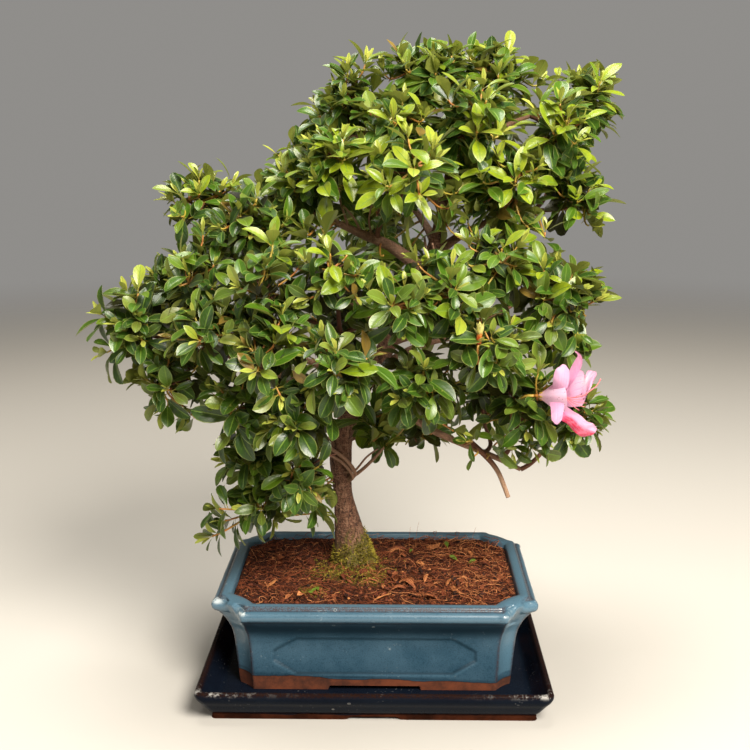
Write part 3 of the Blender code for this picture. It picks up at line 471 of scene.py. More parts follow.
def panel_depth(along, height, half):
    """How far inside the panel's eight-sided edge a place on a wall lies."""
    middle = sum(PANEL_SPAN) / 2
    rise = (PANEL_SPAN[1] - PANEL_SPAN[0]) / 2
    across, up = np.abs(along), np.abs(height - middle)
    slant = (half - across) / PANEL_CUT[0] + (rise - up) / PANEL_CUT[1] - 1
    slant *= PANEL_CUT[0] * PANEL_CUT[1] / math.hypot(*PANEL_CUT)
    return np.minimum(np.minimum(half - across, rise - up), slant)


stations = [POT_PROFILE[0]]
for index, steps in enumerate(POT_STEPS):
    part = smooth_rows(POT_PROFILE[max(index - 1, 0):index + 3], steps)
    start = steps if index else 0
    stations += list(part[start + 1:start + steps + 1])
stations = np.array(stations)
size = 2 * (2 * FLUTE_STEPS + sum(POT_SIDES) - 2)
knobs = []
start = 0
for index in range(4):
    knobs += [start, start + FLUTE_STEPS - 1]
    start += FLUTE_STEPS + POT_SIDES[(index + 1) % 2] - 1
column = np.arange(size)
spread = np.min([np.minimum(np.abs(column - knob), size - np.abs(column - knob)) for knob in knobs], axis=0)
in_flute = np.zeros(size)
for first, last in zip(knobs[::2], knobs[1::2]):
    in_flute[first:last + 1] = 1
rim_row = int(np.argmax(stations[:, 0] > 0.0895))
first_row = int(np.argmax(stations[:, 0] > STRIP_FROM))
strip = smooth_rows(STRIP, 12)
rows = []
for row, (z, inset, cut_size, dent, square, rounding) in enumerate(stations):
    wall_cut = cut_size * (1 - (1 - WALL_CUT_SHARE) * np.clip((0.078 - z) / 0.012, 0, 1) * (row < rim_row))
    half_y = POT_HALF[1] - inset * POT_DEPTH_SHARE
    ring = fluted_ring(POT_HALF[0] - inset, half_y, wall_cut, dent, square, rounding)
    made = np.column_stack([ring, np.full(len(ring), z)])
    nose = np.interp(z, (0.0700, 0.0785, 0.0870, 0.0895), (NOSE[0], NOSE[1], NOSE[1], NOSE[1] * 0.5))
    strip_share = np.clip((spread - nose) / 4.0, 0, 1) * in_flute
    strip_share = strip_share * strip_share * (3 - 2 * strip_share)
    if first_row <= row < rim_row:
        at = (row - first_row) / (rim_row - first_row) * (len(strip) - 1)
        strip_z = np.interp(at, np.arange(len(strip)), strip[:, 0])
        strip_inset = np.interp(at, np.arange(len(strip)), strip[:, 1])
        half_y = POT_HALF[1] - strip_inset * POT_DEPTH_SHARE
        cut_there = np.interp(at, (0, len(strip) - 1), (stations[first_row, 2] * WALL_CUT_SHARE, stations[rim_row, 2]))
        plain = fluted_ring(POT_HALF[0] - strip_inset, half_y, cut_there, 0.0046, 2.0, 4)
        plain = np.column_stack([plain, np.full(len(plain), strip_z)])
        made = made * (1 - strip_share[:, None]) + plain * strip_share[:, None]
    if inset < 0.0045 and z > 0.0765:
        out = made[:, :2] / np.linalg.norm(made[:, :2], axis=1)[:, None]
        swell = KNOB_SWELL * np.exp(-(spread / 6.0) ** 2) * (1 - strip_share)
        made[:, :2] += np.where(np.abs(made[:, :2]) > (0.112, 0.075), out * swell[:, None], 0)
    rows.append(made)
rows = np.array(rows)
# Under the wall: the foot's flat, its inner edge and the underside that it lifts clear
foot = rows[0].copy()
foot[:, 2] = POT_FOOT
inner = foot[:, :2] * (1 - FOOT_WIDTH / np.hypot(foot[:, 0], foot[:, 1]))[:, None]
foot_in = np.column_stack([inner, np.full(size, POT_FOOT)])
recess = np.column_stack([inner, np.full(size, POT_FOOT + FOOT_LIFT)])
deep = rows[-1].copy()
deep[:, :2] *= 0.955
deep[:, 2] = 0.030
floor_ring = deep.copy()
floor_ring[:, :2] *= 0.96
floor_ring[:, 2] = FLOOR_TOP
rows = np.vstack([recess[None], foot_in[None], foot[None], rows, deep[None], floor_ring[None]])
low = rows[:, :, 2] < POT_FOOT + FOOT_LIFT
ends = np.abs(rows[:, :, 0]) > np.abs(rows[:, :, 1]) * POT_HALF[0] / POT_HALF[1]
reach = np.where(ends, FOOT_ARCH[1] - np.abs(rows[:, :, 1]), FOOT_ARCH[0] - np.abs(rows[:, :, 0]))
arch = np.clip(reach / 0.0012 + 0.5, 0, 1)
rows[:, :, 2] = np.where(low, rows[:, :, 2] + (POT_FOOT + FOOT_LIFT - rows[:, :, 2]) * arch, rows[:, :, 2])
# The panels, sunk where the walls are straight
walls = np.zeros(rows.shape[:2])
walls[3:3 + len(stations)] = (stations[:, 1] > 0.009)[:, None] & (stations[:, 0] < 0.0700)[:, None]
depth = np.full(rows.shape[:2], -1.0)
long_side = np.abs(rows[:, :, 0]) < PANEL_HALF[0] + 0.004
short_side = np.abs(rows[:, :, 1]) < PANEL_HALF[1] + 0.004
at_end = np.abs(rows[:, :, 0]) > POT_HALF[0] - 0.024
depth = np.where(long_side & ~at_end, panel_depth(rows[:, :, 0], rows[:, :, 2], PANEL_HALF[0]), depth)
depth = np.where(short_side & at_end, panel_depth(rows[:, :, 1], rows[:, :, 2], PANEL_HALF[1]), depth)
step = np.clip(depth / 0.0026 + 0.5, 0, 1)
sink = PANEL_SINK * step * step * (3 - 2 * step) * walls
rows[:, :, 0] -= np.where(at_end, np.sign(rows[:, :, 0]) * sink, 0)
rows[:, :, 1] -= np.where(at_end, 0, np.sign(rows[:, :, 1]) * sink)
waver = np.array([noise.noise(Vector(point) * 30.0) for point in rows.reshape(-1, 3)]).reshape(rows.shape[:2])
rows[:, :, :2] *= 1 + 0.0016 * waver[:, :, None] * (rows[:, :, 2] > 0.02)[:, :, None]
# Where the glaze breaks on edges and pools in hollows, and where shade is painted under the rail and along the panels'
# lower edges
groove = np.zeros(len(rows))
under_rail = np.zeros(len(rows))
groove[3:3 + len(stations)] = np.exp(-((stations[:, 1] - 0.0056) / 0.0019) ** 4) * (stations[:, 0] > 0.086)
under_rail[3:3 + len(stations)] = np.exp(-((stations[:, 0] - 0.0774) / 0.0018) ** 2) * (stations[:, 1] > 0.0008)
wall_rows = (rows[:, 0, 2] > 0.012) & (rows[:, 0, 2] < 0.0772) & (np.arange(len(rows)) < 3 + len(stations))
edge = np.exp(-(spread / 2.2) ** 2)[None, :] * wall_rows[:, None]
edge = np.maximum(edge, groove[:, None] * np.exp(-(in_flute * spread / 4.0) ** 2)[None, :] * 0.95)
edge = np.maximum(edge, under_rail[:, None] * 0.85 * (1 - in_flute * (spread > 3))[None, :])
# Along each panel's edge the glaze pools in a dark line; the underside share makes it darker towards the lower edge as
# painted shadow, and the lip just outside lighter there as a painted highlight
panel_line = np.exp(-((depth - 0.0006) / 0.0013) ** 2) * walls
panel_lip = np.exp(-((depth + 0.0016) / 0.0010) ** 2) * walls
underside = np.clip((sum(PANEL_SPAN) / 2 - rows[:, :, 2]) / 0.008, 0.35, 1.0)
# Painted shade: the hollow under the rail is darkened down to the panels, as the rail's shadow
cavetto = np.clip((rows[:, :, 2] - 0.0570) / 0.008, 0, 1) * (rows[:, :, 2] < 0.0772) * (1 - in_flute)[None, :]
line = GLAZE_LINE + GLAZE_SLOPE * rows[:, :, 0]
roll = np.exp(-((rows[:, :, 2] - line - 0.0012) / 0.0014) ** 2) * (np.arange(len(rows)) < 3 + len(stations))[:, None]
pool = np.clip(panel_line * underside * 0.80 + cavetto * 0.85 * wall_rows[:, None] + 0.6 * roll, 0, 1)
# High mask: lighter glaze where it thins over the rail and rim; on the corner strips it is painted light, and just
# below each panel it is a painted highlight
upper = np.clip((rows[:, :, 2] - 0.0765) / 0.003, 0, 1)
rail = np.zeros(len(rows))
rail[3:3 + len(stations)] = (stations[:, 1] < 0.0050) & (stations[:, 0] > 0.0770)
high = np.maximum(upper * (1 - 0.45 * rail[:, None]), 0.95 * in_flute[None, :] * (rows[:, :, 2] > 0.022))
high = np.maximum(high * (1 - 0.5 * cavetto), 0.35 * panel_lip * np.clip(underside * 1.4 - 0.4, 0, 1))
# Painted highlight: a pale crescent along each rail knob's upper edge, standing in for the light's reflection there
knob = np.exp(-((spread - 2.0) / 3.0) ** 2)[None, :] * np.exp(-((rows[:, :, 2] - 0.0858) / 0.0016) ** 2)
knob = knob * rail[:, None] * 1.3
pot_finish = glazed(
    "pot_glaze", glaze, GLAZE_LINE, GLAZE_SLOPE, 0.50, 0.45, 1.50, 0.0005,
    Body=BLUE, Body_Lit=BLUE_LIT, Raised=BLUE_RAISED_AND_LIT, Thin=GREY_VIOLET, Pooled=BLUE_DEEP, Clay=TERRACOTTA,
    Fleck=(0.50, 0.56, 0.58, 1.0), Fleck_Share=0.12, Gloss=0.34, Blotch_Scale=30.0,
)
outer = np.zeros(len(rows))
outer[:3 + len(stations)] = 1
pot = mesh_of(
    "pot_body", rows.reshape(-1, 3), skin(rows, True, True), pot_finish, 55,
    edge=edge.ravel(), pool=pool.ravel(), high=high.ravel(), worn=knob.ravel(), outside=np.repeat(outer, size),
)
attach(pot, "root")
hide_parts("pot")

# Soil: red-brown fibrous peat, pressed round the root and filled nearly to the rim. Coarse fibres, bark
# chips, crumbs and a few green bits lie on it, and moss has spread from the foot of the trunk.
SOIL_LEVEL = 0.0866
SOIL_INSET = 0.0158
SOIL_SKIRT = 0.010
SOIL_RINGS = 88
SOIL_CUT = 0.0205
MOUND = (0.0042, 0.050)
ROOT = np.array((-0.020, 0.012))
LUMPS = ((52.0, 0.0014), (140.0, 0.0010), (380.0, 0.0007))
HOLLOW = (0.026, -0.052, 0.009, 0.0045)
PEAT = ((0.006, 0.0020, 0.0010, 1.0), (0.066, 0.0160, 0.0060, 1.0), (0.220, 0.064, 0.023, 1.0))
MOSS = ((0.028, 0.026, 0.004, 1.0), (0.200, 0.170, 0.020, 1.0))
# Mossy patches: x, y, radius
MOSS_PATCHES = ((-0.020, 0.004, 0.027), (-0.006, -0.022, 0.017), (-0.044, -0.012, 0.016), (-0.054, -0.052, 0.010))
FIBRES = 1500
CHIPS = 170
CRUMBS = 900
TUFTS = 3800
# Scraps that stand out, as x, y, length, tone, turn in degrees
MARKED_CHIPS = (
    (-0.089, -0.040, 0.016, 0.92, 35), (0.006, -0.068, 0.015, 1.0, 5), (0.070, -0.056, 0.014, 0.85, 170),
    (0.104, -0.026, 0.011, 0.7, 20), (0.052, 0.050, 0.018, 0.72, 10), (-0.072, -0.064, 0.010, 0.7, 60),
    (-0.050, -0.060, 0.010, 0.6, 150), (0.066, -0.046, 0.013, 0.75, 95), (0.094, 0.020, 0.012, 0.7, 45),
    (0.086, 0.034, 0.010, 0.8, 100), (-0.098, -0.010, 0.009, 0.6, 80), (0.048, -0.066, 0.016, 0.62, 178),
    (-0.062, -0.064, 0.009, 0.9, 20), (-0.034, -0.066, 0.008, 0.6, 130), (0.084, 0.046, 0.014, 0.66, 60),
)
# Strips of shredded bark round the hollow: x, y, length, width, turn in degrees, rise, tone
BARK_STRIPS = (
    (0.018, -0.040, 0.020, 0.0034, 60, 0.0050, 0.72), (0.026, -0.038, 0.017, 0.0028, 100, 0.0042, 0.58),
    (0.036, -0.044, 0.022, 0.0038, 140, 0.0060, 0.64), (0.030, -0.058, 0.018, 0.0030, 20, 0.0036, 0.50),
    (0.042, -0.034, 0.016, 0.0026, 80, 0.0050, 0.78), (0.012, -0.052, 0.016, 0.0026, 30, 0.0030, 0.60),
    (0.060, -0.040, 0.014, 0.0040, 65, 0.0046, 0.74), (0.054, -0.026, 0.016, 0.0022, 130, 0.0030, 0.55),
    (0.004, -0.034, 0.015, 0.0020, 160, 0.0028, 0.66), (-0.006, 0.034, 0.022, 0.0030, 150, 0.0040, 0.80),
    (0.010, 0.030, 0.018, 0.0026, 20, 0.0036, 0.74), (0.030, 0.044, 0.020, 0.0024, 170, 0.0030, 0.60),
)
# Roots that stand up like hairs at the back: x, y, height, lean to the right
HAIRS = (
    (0.030, 0.046, 0.024, 0.001), (0.036, 0.050, 0.027, 0.003), (0.050, 0.044, 0.018, -0.003),
    (0.088, 0.052, 0.022, 0.004), (0.040, 0.010, 0.014, 0.006), (-0.046, 0.030, 0.016, -0.004),
)
# Green bits: x, y, height, length, turn in degrees
GREEN_BITS = (
    (-0.054, -0.058, 0.003, 0.007, 40), (-0.050, -0.060, 0.003, 0.006, 200), (-0.047, -0.057, 0.004, 0.006, 110),
    (0.074, 0.018, 0.003, 0.010, 150), (0.082, 0.012, 0.002, 0.009, 20), (0.066, 0.052, 0.003, 0.010, 100),
    (0.030, 0.034, 0.003, 0.006, 60),
)


def ground(x, y):
    """Height of the soil at a place."""
    away = math.hypot(x - ROOT[0], y - ROOT[1])
    height = SOIL_LEVEL + MOUND[0] * math.exp(-(away / MOUND[1]) ** 2)
    for scale, rise in LUMPS:
        height += rise * noise.noise((x * scale, y * scale, scale))
    dip = math.hypot(x - HOLLOW[0], y - HOLLOW[1]) / HOLLOW[2]
    return height - HOLLOW[3] * math.exp(-dip * dip)


def in_tray(x, y, margin=0.0):
    """How far a place lies inside the soil's outline; less than nothing outside it."""
    half_x, half_y = POT_HALF[0] - SOIL_INSET - margin, POT_HALF[1] - SOIL_INSET * POT_DEPTH_SHARE - margin
    return min(half_x - abs(x), half_y - abs(y), (half_x + half_y - SOIL_CUT - abs(x) - abs(y)) / math.sqrt(2))


def gather(shapes):
    """Points, faces and masks of many shapes as one."""
    points, faces, masks, start = [], {}, {}, 0
    for shape_points, shape_faces, shape_masks in shapes:
        points.append(shape_points)
        for group in shape_faces:
            group = np.asarray(group)
            if len(group):
                faces.setdefault(group.shape[1], []).append(group + start)
        for name, value in shape_masks.items():
            value = np.asarray(value, float)
            whole = value if value.ndim and len(value) == len(shape_points) else np.full(len(shape_points), value)
            masks.setdefault(name, []).append(whole)
        start += len(shape_points)
    return np.vstack(points), [np.vstack(group) for group in faces.values()], {
        name: np.concatenate(values) for name, values in masks.items()
    }


def tube(route, radii, sides):
    """Rings round a route, turned as little as possible from one to the next, with closed ends."""
    route = np.asarray(route, float)
    ahead = np.gradient(route, axis=0)
    ahead /= np.linalg.norm(ahead, axis=1)[:, None]
    side = np.cross(ahead[0], (0.0, 0.0, 1.0) if abs(ahead[0][2]) < 0.9 else (1.0, 0.0, 0.0))
    sides_there = []
    for heading in ahead:
        side = side - heading * side.dot(heading)
        side /= np.linalg.norm(side)
        sides_there.append(side)
    side = np.array(sides_there)
    over = np.cross(ahead, side)
    sweep = np.arange(sides) * math.tau / sides
    out = np.cos(sweep)[None, :, None] * side[:, None] + np.sin(sweep)[None, :, None] * over[:, None]
    rings = route[:, None] + out * np.broadcast_to(radii, len(route))[:, None, None]
    return rings, skin(rings, True, True)


def dry_litter():
    """Plant matter coloured along three shades by a tone, with a fine grain. Used by every loose or waxy scrap."""
    group = bpy.data.node_groups.new("dry_litter", "ShaderNodeTree")
    for name, kind in (("Tone", "Float"), ("Dark", "Color"), ("Middle", "Color"), ("Light", "Color")):
        group.interface.new_socket(name=name, in_out="INPUT", socket_type="NodeSocket" + kind)
    for name, kind in (("Colour", "Color"), ("Height", "Float")):
        group.interface.new_socket(name=name, in_out="OUTPUT", socket_type="NodeSocket" + kind)
    given = group.nodes.new("NodeGroupInput").outputs
    grain = speckle(group, add(group, "TexCoord").outputs["Object"], 900.0, 3.0, 0.7)
    tone = maths(group, "ADD", given["Tone"], between(group, grain, 0.3, 0.7, -0.18, 0.18), clamp=True)
    colour = blend_colours(group, between(group, tone, 0.0, 0.5), given["Dark"], given["Middle"])
    colour = blend_colours(group, between(group, tone, 0.5, 1.0), colour, given["Light"])
    ends = group.nodes.new("NodeGroupOutput").inputs
    group.links.new(colour, ends["Colour"])
    group.links.new(grain, ends["Height"])
    return group


def moss_cover():
    """Yellow-green moss over whatever lies under it. Used by the peat and the bark."""
    group = bpy.data.node_groups.new("moss_cover", "ShaderNodeTree")
    for name, kind in (("Under", "Color"), ("Share", "Float")):
        group.interface.new_socket(name=name, in_out="INPUT", socket_type="NodeSocket" + kind)
    group.interface.new_socket(name="Colour", in_out="OUTPUT", socket_type="NodeSocketColor")
    given = group.nodes.new("NodeGroupInput").outputs
    grain = speckle(group, add(group, "TexCoord").outputs["Object"], 760.0, 4.0, 0.75)
    green = blend_colours(group, between(group, grain, 0.38, 0.64), MOSS[0], MOSS[1])
    colour = blend_colours(group, given["Share"], given["Under"], green)
    group.links.new(colour, group.nodes.new("NodeGroupOutput").inputs["Colour"])
    return group


def grouped(tree, group, inputs):
    """A node group placed in a tree, its inputs set or linked; returns its outputs."""
    node = tree.nodes.new("ShaderNodeGroup")
    node.node_tree = group
    for name, value in inputs.items():
        if isinstance(value, bpy.types.NodeSocket):
            tree.links.new(value, node.inputs[name])
        else:
            node.inputs[name].default_value = value
    return node.outputs


def litter_finish(name, colours, rough, shine=0.25):
    """A finish of dull plant matter, coloured by the tone mask."""
    finish, tree, shader = new_finish(name, Roughness=rough, Specular_IOR_Level=shine)
    tone = add(tree, "Attribute", attribute_name="tone").outputs["Fac"]
    made = grouped(tree, litter, {"Tone": tone, "Dark": colours[0], "Middle": colours[1], "Light": colours[2]})
    bump = add(tree, "Bump", {"Height": made["Height"], "Strength": 0.5, "Distance": 0.0004})
    link_finish(tree, shader, Base_Color=made["Colour"], Normal=bump.outputs["Normal"])
    return finish


litter = dry_litter()
moss_tint = moss_cover()
inset = SOIL_INSET
edge_ring = fluted_ring(POT_HALF[0] - inset, POT_HALF[1] - inset * POT_DEPTH_SHARE, SOIL_CUT, 0.0020, 2.0, 5)[::2]
rings = []
for step in range(SOIL_RINGS + 1):
    share = step / SOIL_RINGS
    toward = ROOT + (edge_ring - ROOT) * 0.10
    ring = edge_ring * (1 - share) + toward * share
    rings.append(np.column_stack([ring, [ground(x, y) - 0.0016 * (1 - share) ** 24 for x, y in ring]]))
skirt = rings[0] - (0, 0, SOIL_SKIRT)
rings = np.array([skirt] + rings)
flat = rings.reshape(-1, 3)
moss_mask = np.zeros(len(flat))
for x, y, radius in MOSS_PATCHES:
    moss_mask += np.exp(-(np.hypot(flat[:, 0] - x, flat[:, 1] - y) / radius) ** 2)
soil_finish, tree, shader = new_finish("peat", Roughness=0.95, Specular_IOR_Level=0.2)
place = add(tree, "TexCoord").outputs["Object"]
crumbs = add(tree, "TexVoronoi", {"Vector": place, "Scale": 520.0}, feature="F1")
grain = speckle(tree, place, 700.0, 4.0, 0.75)
patch = speckle(tree, place, 90.0, 3.0, 0.6)
colour = blend_colours(tree, between(tree, grain, 0.34, 0.60), PEAT[0], PEAT[1])
each = add(tree, "SeparateColor", {"Color": crumbs.outputs["Color"]}).outputs[0]
colour = blend_colours(tree, between(tree, each, 0.72, 0.95, 0.0, 0.8), colour, PEAT[2])
colour = blend_colours(tree, between(tree, patch, 0.52, 0.36, 0.0, 0.6), colour, PEAT[0])
mossy = maths(tree, "MULTIPLY", add(tree, "Attribute", attribute_name="moss").outputs["Fac"],
              between(tree, patch, 0.42, 0.58))
mossy = maths(tree, "MULTIPLY", mossy, 0.75, clamp=True)
colour = grouped(tree, moss_tint, {"Under": colour, "Share": mossy})["Colour"]
height = maths(tree, "ADD", grain, maths(tree, "MULTIPLY", crumbs.outputs["Distance"], -0.6))
bump = add(tree, "Bump", {"Height": height, "Strength": 1.0, "Distance": 0.0015})
link_finish(tree, shader, Base_Color=colour, Normal=bump.outputs["Normal"])
soil = mesh_of("soil_bed", flat, skin(rings, False, True), soil_finish, moss=np.clip(moss_mask, 0, 1))
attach(soil, "root")
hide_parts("soil")

chance = random.Random(4)
shapes = []
for index in range(FIBRES):
    while True:
        x = chance.uniform(-0.118, 0.118)
        y = chance.uniform(-0.079, 0.079)
        crowded = 0.45 + 0.55 * max(0.0, x / 0.118) + 0.25 * max(0.0, -y / 0.08)
        if in_tray(x, y, 0.003) > 0 and chance.random() < crowded:
            break
    long = chance.random() < 0.22
    length = chance.uniform(0.020, 0.046) if long else chance.uniform(0.006, 0.020)
    steps = 12 if long else 7
    heading = chance.uniform(0, math.tau)
    turn = chance.gauss(0, 3.0 if long else 2.0) / steps
    rise = abs(chance.gauss(0, 0.0035 if long else 0.0018))
    wobble = chance.uniform(0, math.tau)
    route = []
    for step in range(steps + 1):
        share = step / steps
        height = ground(x, y) + 0.0003 + rise * math.sin(math.pi * share) + 0.0005 * math.sin(9 * share + wobble)
        route.append((x, y, height))
        heading += turn + chance.gauss(0, 0.28)
        x += math.cos(heading) * length / steps
        y += math.sin(heading) * length / steps
        if in_tray(x, y, 0.001) < 0:
            heading += 2.0
            x = max(-0.117, min(0.117, x * 0.97))
            y = max(-0.078, min(0.078, y * 0.97))
    radius = chance.uniform(0.00016, 0.00030) if long else chance.uniform(0.00012, 0.00034)
    taper = np.sin(np.linspace(0.35, math.pi - 0.25, steps + 1)) ** 0.6
    rings, faces = tube(route, radius * taper, 3)
    tone = min(1.0, max(0.0, chance.gauss(0.44 + 0.14 * (x > 0.05), 0.24)))
    shapes.append((rings.reshape(-1, 3), faces, {"tone": tone}))
for x, y, tall, lean in HAIRS:
    low = ground(x, y) - 0.001
    route = smooth_rows([(x, y, low), (x + lean * 0.2, y, low + tall * 0.5), (x + lean, y - 0.001, low + tall)], 4)
    rings, faces = tube(route, np.linspace(0.00022, 0.00010, len(route)), 3)
    shapes.append((rings.reshape(-1, 3), faces, {"tone": 0.7}))
fibre_finish = litter_finish(
    "fibre", ((0.028, 0.0060, 0.0025, 1.0), (0.200, 0.047, 0.016, 1.0), (0.620, 0.250, 0.095, 1.0)), 0.80
)
points, faces, masks = gather(shapes)
fibres = mesh_of("soil_fibres", points, faces, fibre_finish, **masks)
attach(fibres, "root")
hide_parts("soil")


def chip(x, y, length, tone, turn, chance):
    """A torn, curled scrap of bark or dead leaf lying on the soil."""
    sides = chance.choice((7, 8, 9, 10))
    angles = (np.arange(sides) + np.array([chance.uniform(-0.35, 0.35) for _ in range(sides)])) * math.tau / sides
    ragged = np.array([chance.uniform(0.55, 1.15) for _ in range(sides)])
    width = length * chance.uniform(0.35, 0.75)
    outline = np.column_stack([np.cos(angles) * ragged * length / 2, np.sin(angles) * ragged * width / 2])
    inner = outline * 0.55
    curl = chance.uniform(0.1, 1.0) / length
    thick = chance.uniform(0.0003, 0.0008)
    tilt_x, tilt_y = chance.gauss(0, 0.30), chance.gauss(-0.15, 0.35)
    layers = []
    for ring, lift in ((outline, 0.0), (outline, thick), (inner, thick), (inner * 0.05, thick)):
        z = lift + curl * ring[:, 1] ** 2 * 4 + tilt_x * ring[:, 0] + tilt_y * ring[:, 1]
        layers.append(np.column_stack([ring, z]))
    rings = np.array(layers)
    crumple = length * 0.03
    rings += [[[chance.uniform(-crumple, crumple) for _ in range(3)] for _ in range(sides)] for _ in range(4)]
    cos, sin = math.cos(turn), math.sin(turn)
    flat = rings.reshape(-1, 3) @ np.array(((cos, sin, 0), (-sin, cos, 0), (0, 0, 1)))
    flat += (x, y, ground(x, y) + 0.0004 + abs(tilt_x) * length * 0.3)
    return flat, skin(rings, True, True), {"tone": tone}


def bark_strip(x, y, length, width, turn, rise, tone, chance):
    """A shredded strip of bark that arches off the soil and twists."""
    steps = np.linspace(0, 1, 10)
    way = turn + np.cumsum([chance.gauss(0, 0.14) for _ in steps])
    route = np.column_stack([
        x + np.cumsum(np.cos(way)) * length / 10, y + np.cumsum(np.sin(way)) * length / 10,
        ground(x, y) + rise * np.sin(steps * math.pi * 0.9 + 0.2),
    ])
    twist = chance.uniform(-0.7, 0.7) + steps * chance.uniform(-1.4, 1.4)
    half = width / 2 * (0.35 + np.sin(steps * math.pi) ** 0.6)
    across = np.column_stack([-np.sin(way) * np.cos(twist), np.cos(way) * np.cos(twist), np.sin(twist)])
    over = np.cross(np.column_stack([np.cos(way), np.sin(way), 0 * way]), across) * 0.0003
    across = across * half[:, None]
    rings = np.stack([route - across, route + over * 2, route + across, route - over], axis=1)
    return rings.reshape(-1, 3), skin(rings, True, True), {"tone": tone}


shapes = [chip(x, y, length, tone, math.radians(turn), chance) for x, y, length, tone, turn in MARKED_CHIPS]
shapes += [bark_strip(*strip[:4], math.radians(strip[4]), *strip[5:], chance) for strip in BARK_STRIPS]
while len(shapes) < CHIPS:
    x, y = chance.uniform(-0.114, 0.114), chance.uniform(-0.075, 0.075)
    if in_tray(x, y, 0.006) > 0 and np.hypot(x - ROOT[0], y - ROOT[1]) > 0.024:
        tone = min(1.0, max(0.0, chance.gauss(0.30, 0.24)))
        shapes.append(chip(x, y, chance.uniform(0.003, 0.009), tone, chance.uniform(0, math.tau), chance))
for index in range(CRUMBS):
    x, y = chance.uniform(-0.117, 0.117), chance.uniform(-0.078, 0.078)
    if in_tray(x, y, 0.003) < 0:
        continue
    size = chance.uniform(0.0007, 0.0022)
    rings = []
    for lift, wide in ((-0.5, 0.6), (0.1, 1.0), (0.7, 0.6)):
        sweep = np.arange(5) * math.tau / 5 + chance.uniform(0, 1)
        spread = size * wide * np.array([chance.uniform(0.6, 1.15) for _ in range(5)])
        level = ground(x, y) + size * lift + np.array([chance.uniform(-0.2, 0.2) for _ in range(5)]) * size
        rings.append(np.column_stack([x + np.cos(sweep) * spread, y + np.sin(sweep) * spread, level]))
    rings = np.array(rings)
    tone = min(1.0, max(0.0, chance.gauss(0.28, 0.20)))
    shapes.append((rings.reshape(-1, 3), skin(rings, True, True), {"tone": tone}))
chip_finish = litter_finish(
    "bark_chip", ((0.012, 0.0035, 0.0018, 1.0), (0.140, 0.033, 0.012, 1.0), (0.540, 0.215, 0.072, 1.0)), 0.75
)
points, faces, masks = gather(shapes)
chips = mesh_of("soil_chips", points, faces, chip_finish, 30, **masks)
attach(chips, "root")
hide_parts("soil")


# Trunk and limbs: one living piece of wood, finely fissured and pinkish brown, swelling into the root at the
# soil and mossy there. Limbs leave it with a collar and end in the twigs that carry the sprays.
TRUNK = (
    (-20, 12, 62, 18.5), (-20, 12, 86, 18.5), (-21, 12, 97, 16.8), (-23, 12, 112, 14.2), (-26, 11, 130, 11.2),
    (-29, 10, 150, 8.6), (-30, 9, 165, 8.2), (-31, 8, 185, 9.4), (-29, 6, 207, 9.0), (-20, 4, 235, 8.4),
    (-4, 2, 265, 7.8), (14, 0, 295, 7.2), (30, -2, 325, 6.8), (42, -6, 352, 6.2), (50, -8, 378, 5.4),
    (56, -4, 405, 4.6), (62, 0, 435, 3.8), (68, 4, 462, 2.8), (73, 6, 486, 1.8),
)
# Points from inside the trunk outward, then the radius at each end, all in millimetres
LIMBS = {
    "left_low": ((-29, 6, 196), (-45, 0, 206), (-62, -12, 212), (-82, -22, 208), (-98, -30, 198), 3.8, 1.8),
    "left_mid": ((-22, 4, 230), (-45, 0, 246), (-75, -6, 260), (-105, -12, 272), (-138, -16, 292), 5.0, 2.0),
    "front": ((-6, 2, 262), (-10, -20, 275), (-18, -40, 290), (-26, -58, 306), 4.2, 2.0),
    "left_high": ((16, 0, 298), (-5, 8, 316), (-35, 15, 336), (-65, 14, 354), (-98, 8, 374), 5.0, 2.0),
    "across": ((42, -6, 352), (14, -38, 376), (-8, -43, 386), (-26, -42, 394), (-52, -30, 404), 5.4, 1.8),
    "right_low": ((-4, 2, 262), (12, -14, 246), (48, -28, 222), (101, -34, 200), (122, -35, 190), 4.2, 1.8),
    "right_mid": ((14, 0, 295), (40, -12, 302), (70, -22, 308), (100, -26, 314), (128, -24, 318), 4.6, 1.8),
    "right_high": ((46, -8, 364), (70, -6, 382), (100, -2, 396), (130, 0, 402), 4.2, 1.8),
    "shoulder": ((56, -4, 405), (40, -4, 428), (18, -6, 448), (-6, -6, 460), (-28, -2, 464), 3.8, 1.6),
    "apex_right": ((63, 1, 440), (84, 0, 458), (108, -2, 472), (130, 2, 480), 3.2, 1.6),
    "back_right": ((-4, 2, 262), (15, 26, 272), (38, 48, 280), (66, 62, 284), 4.2, 2.0),
    "back_left": ((-20, 4, 235), (-34, 26, 248), (-52, 46, 262), (-78, 56, 270), 4.0, 2.0),
    "back_top": ((50, -8, 376), (42, 22, 390), (30, 48, 404), (12, 62, 416), 3.8, 1.8),
}
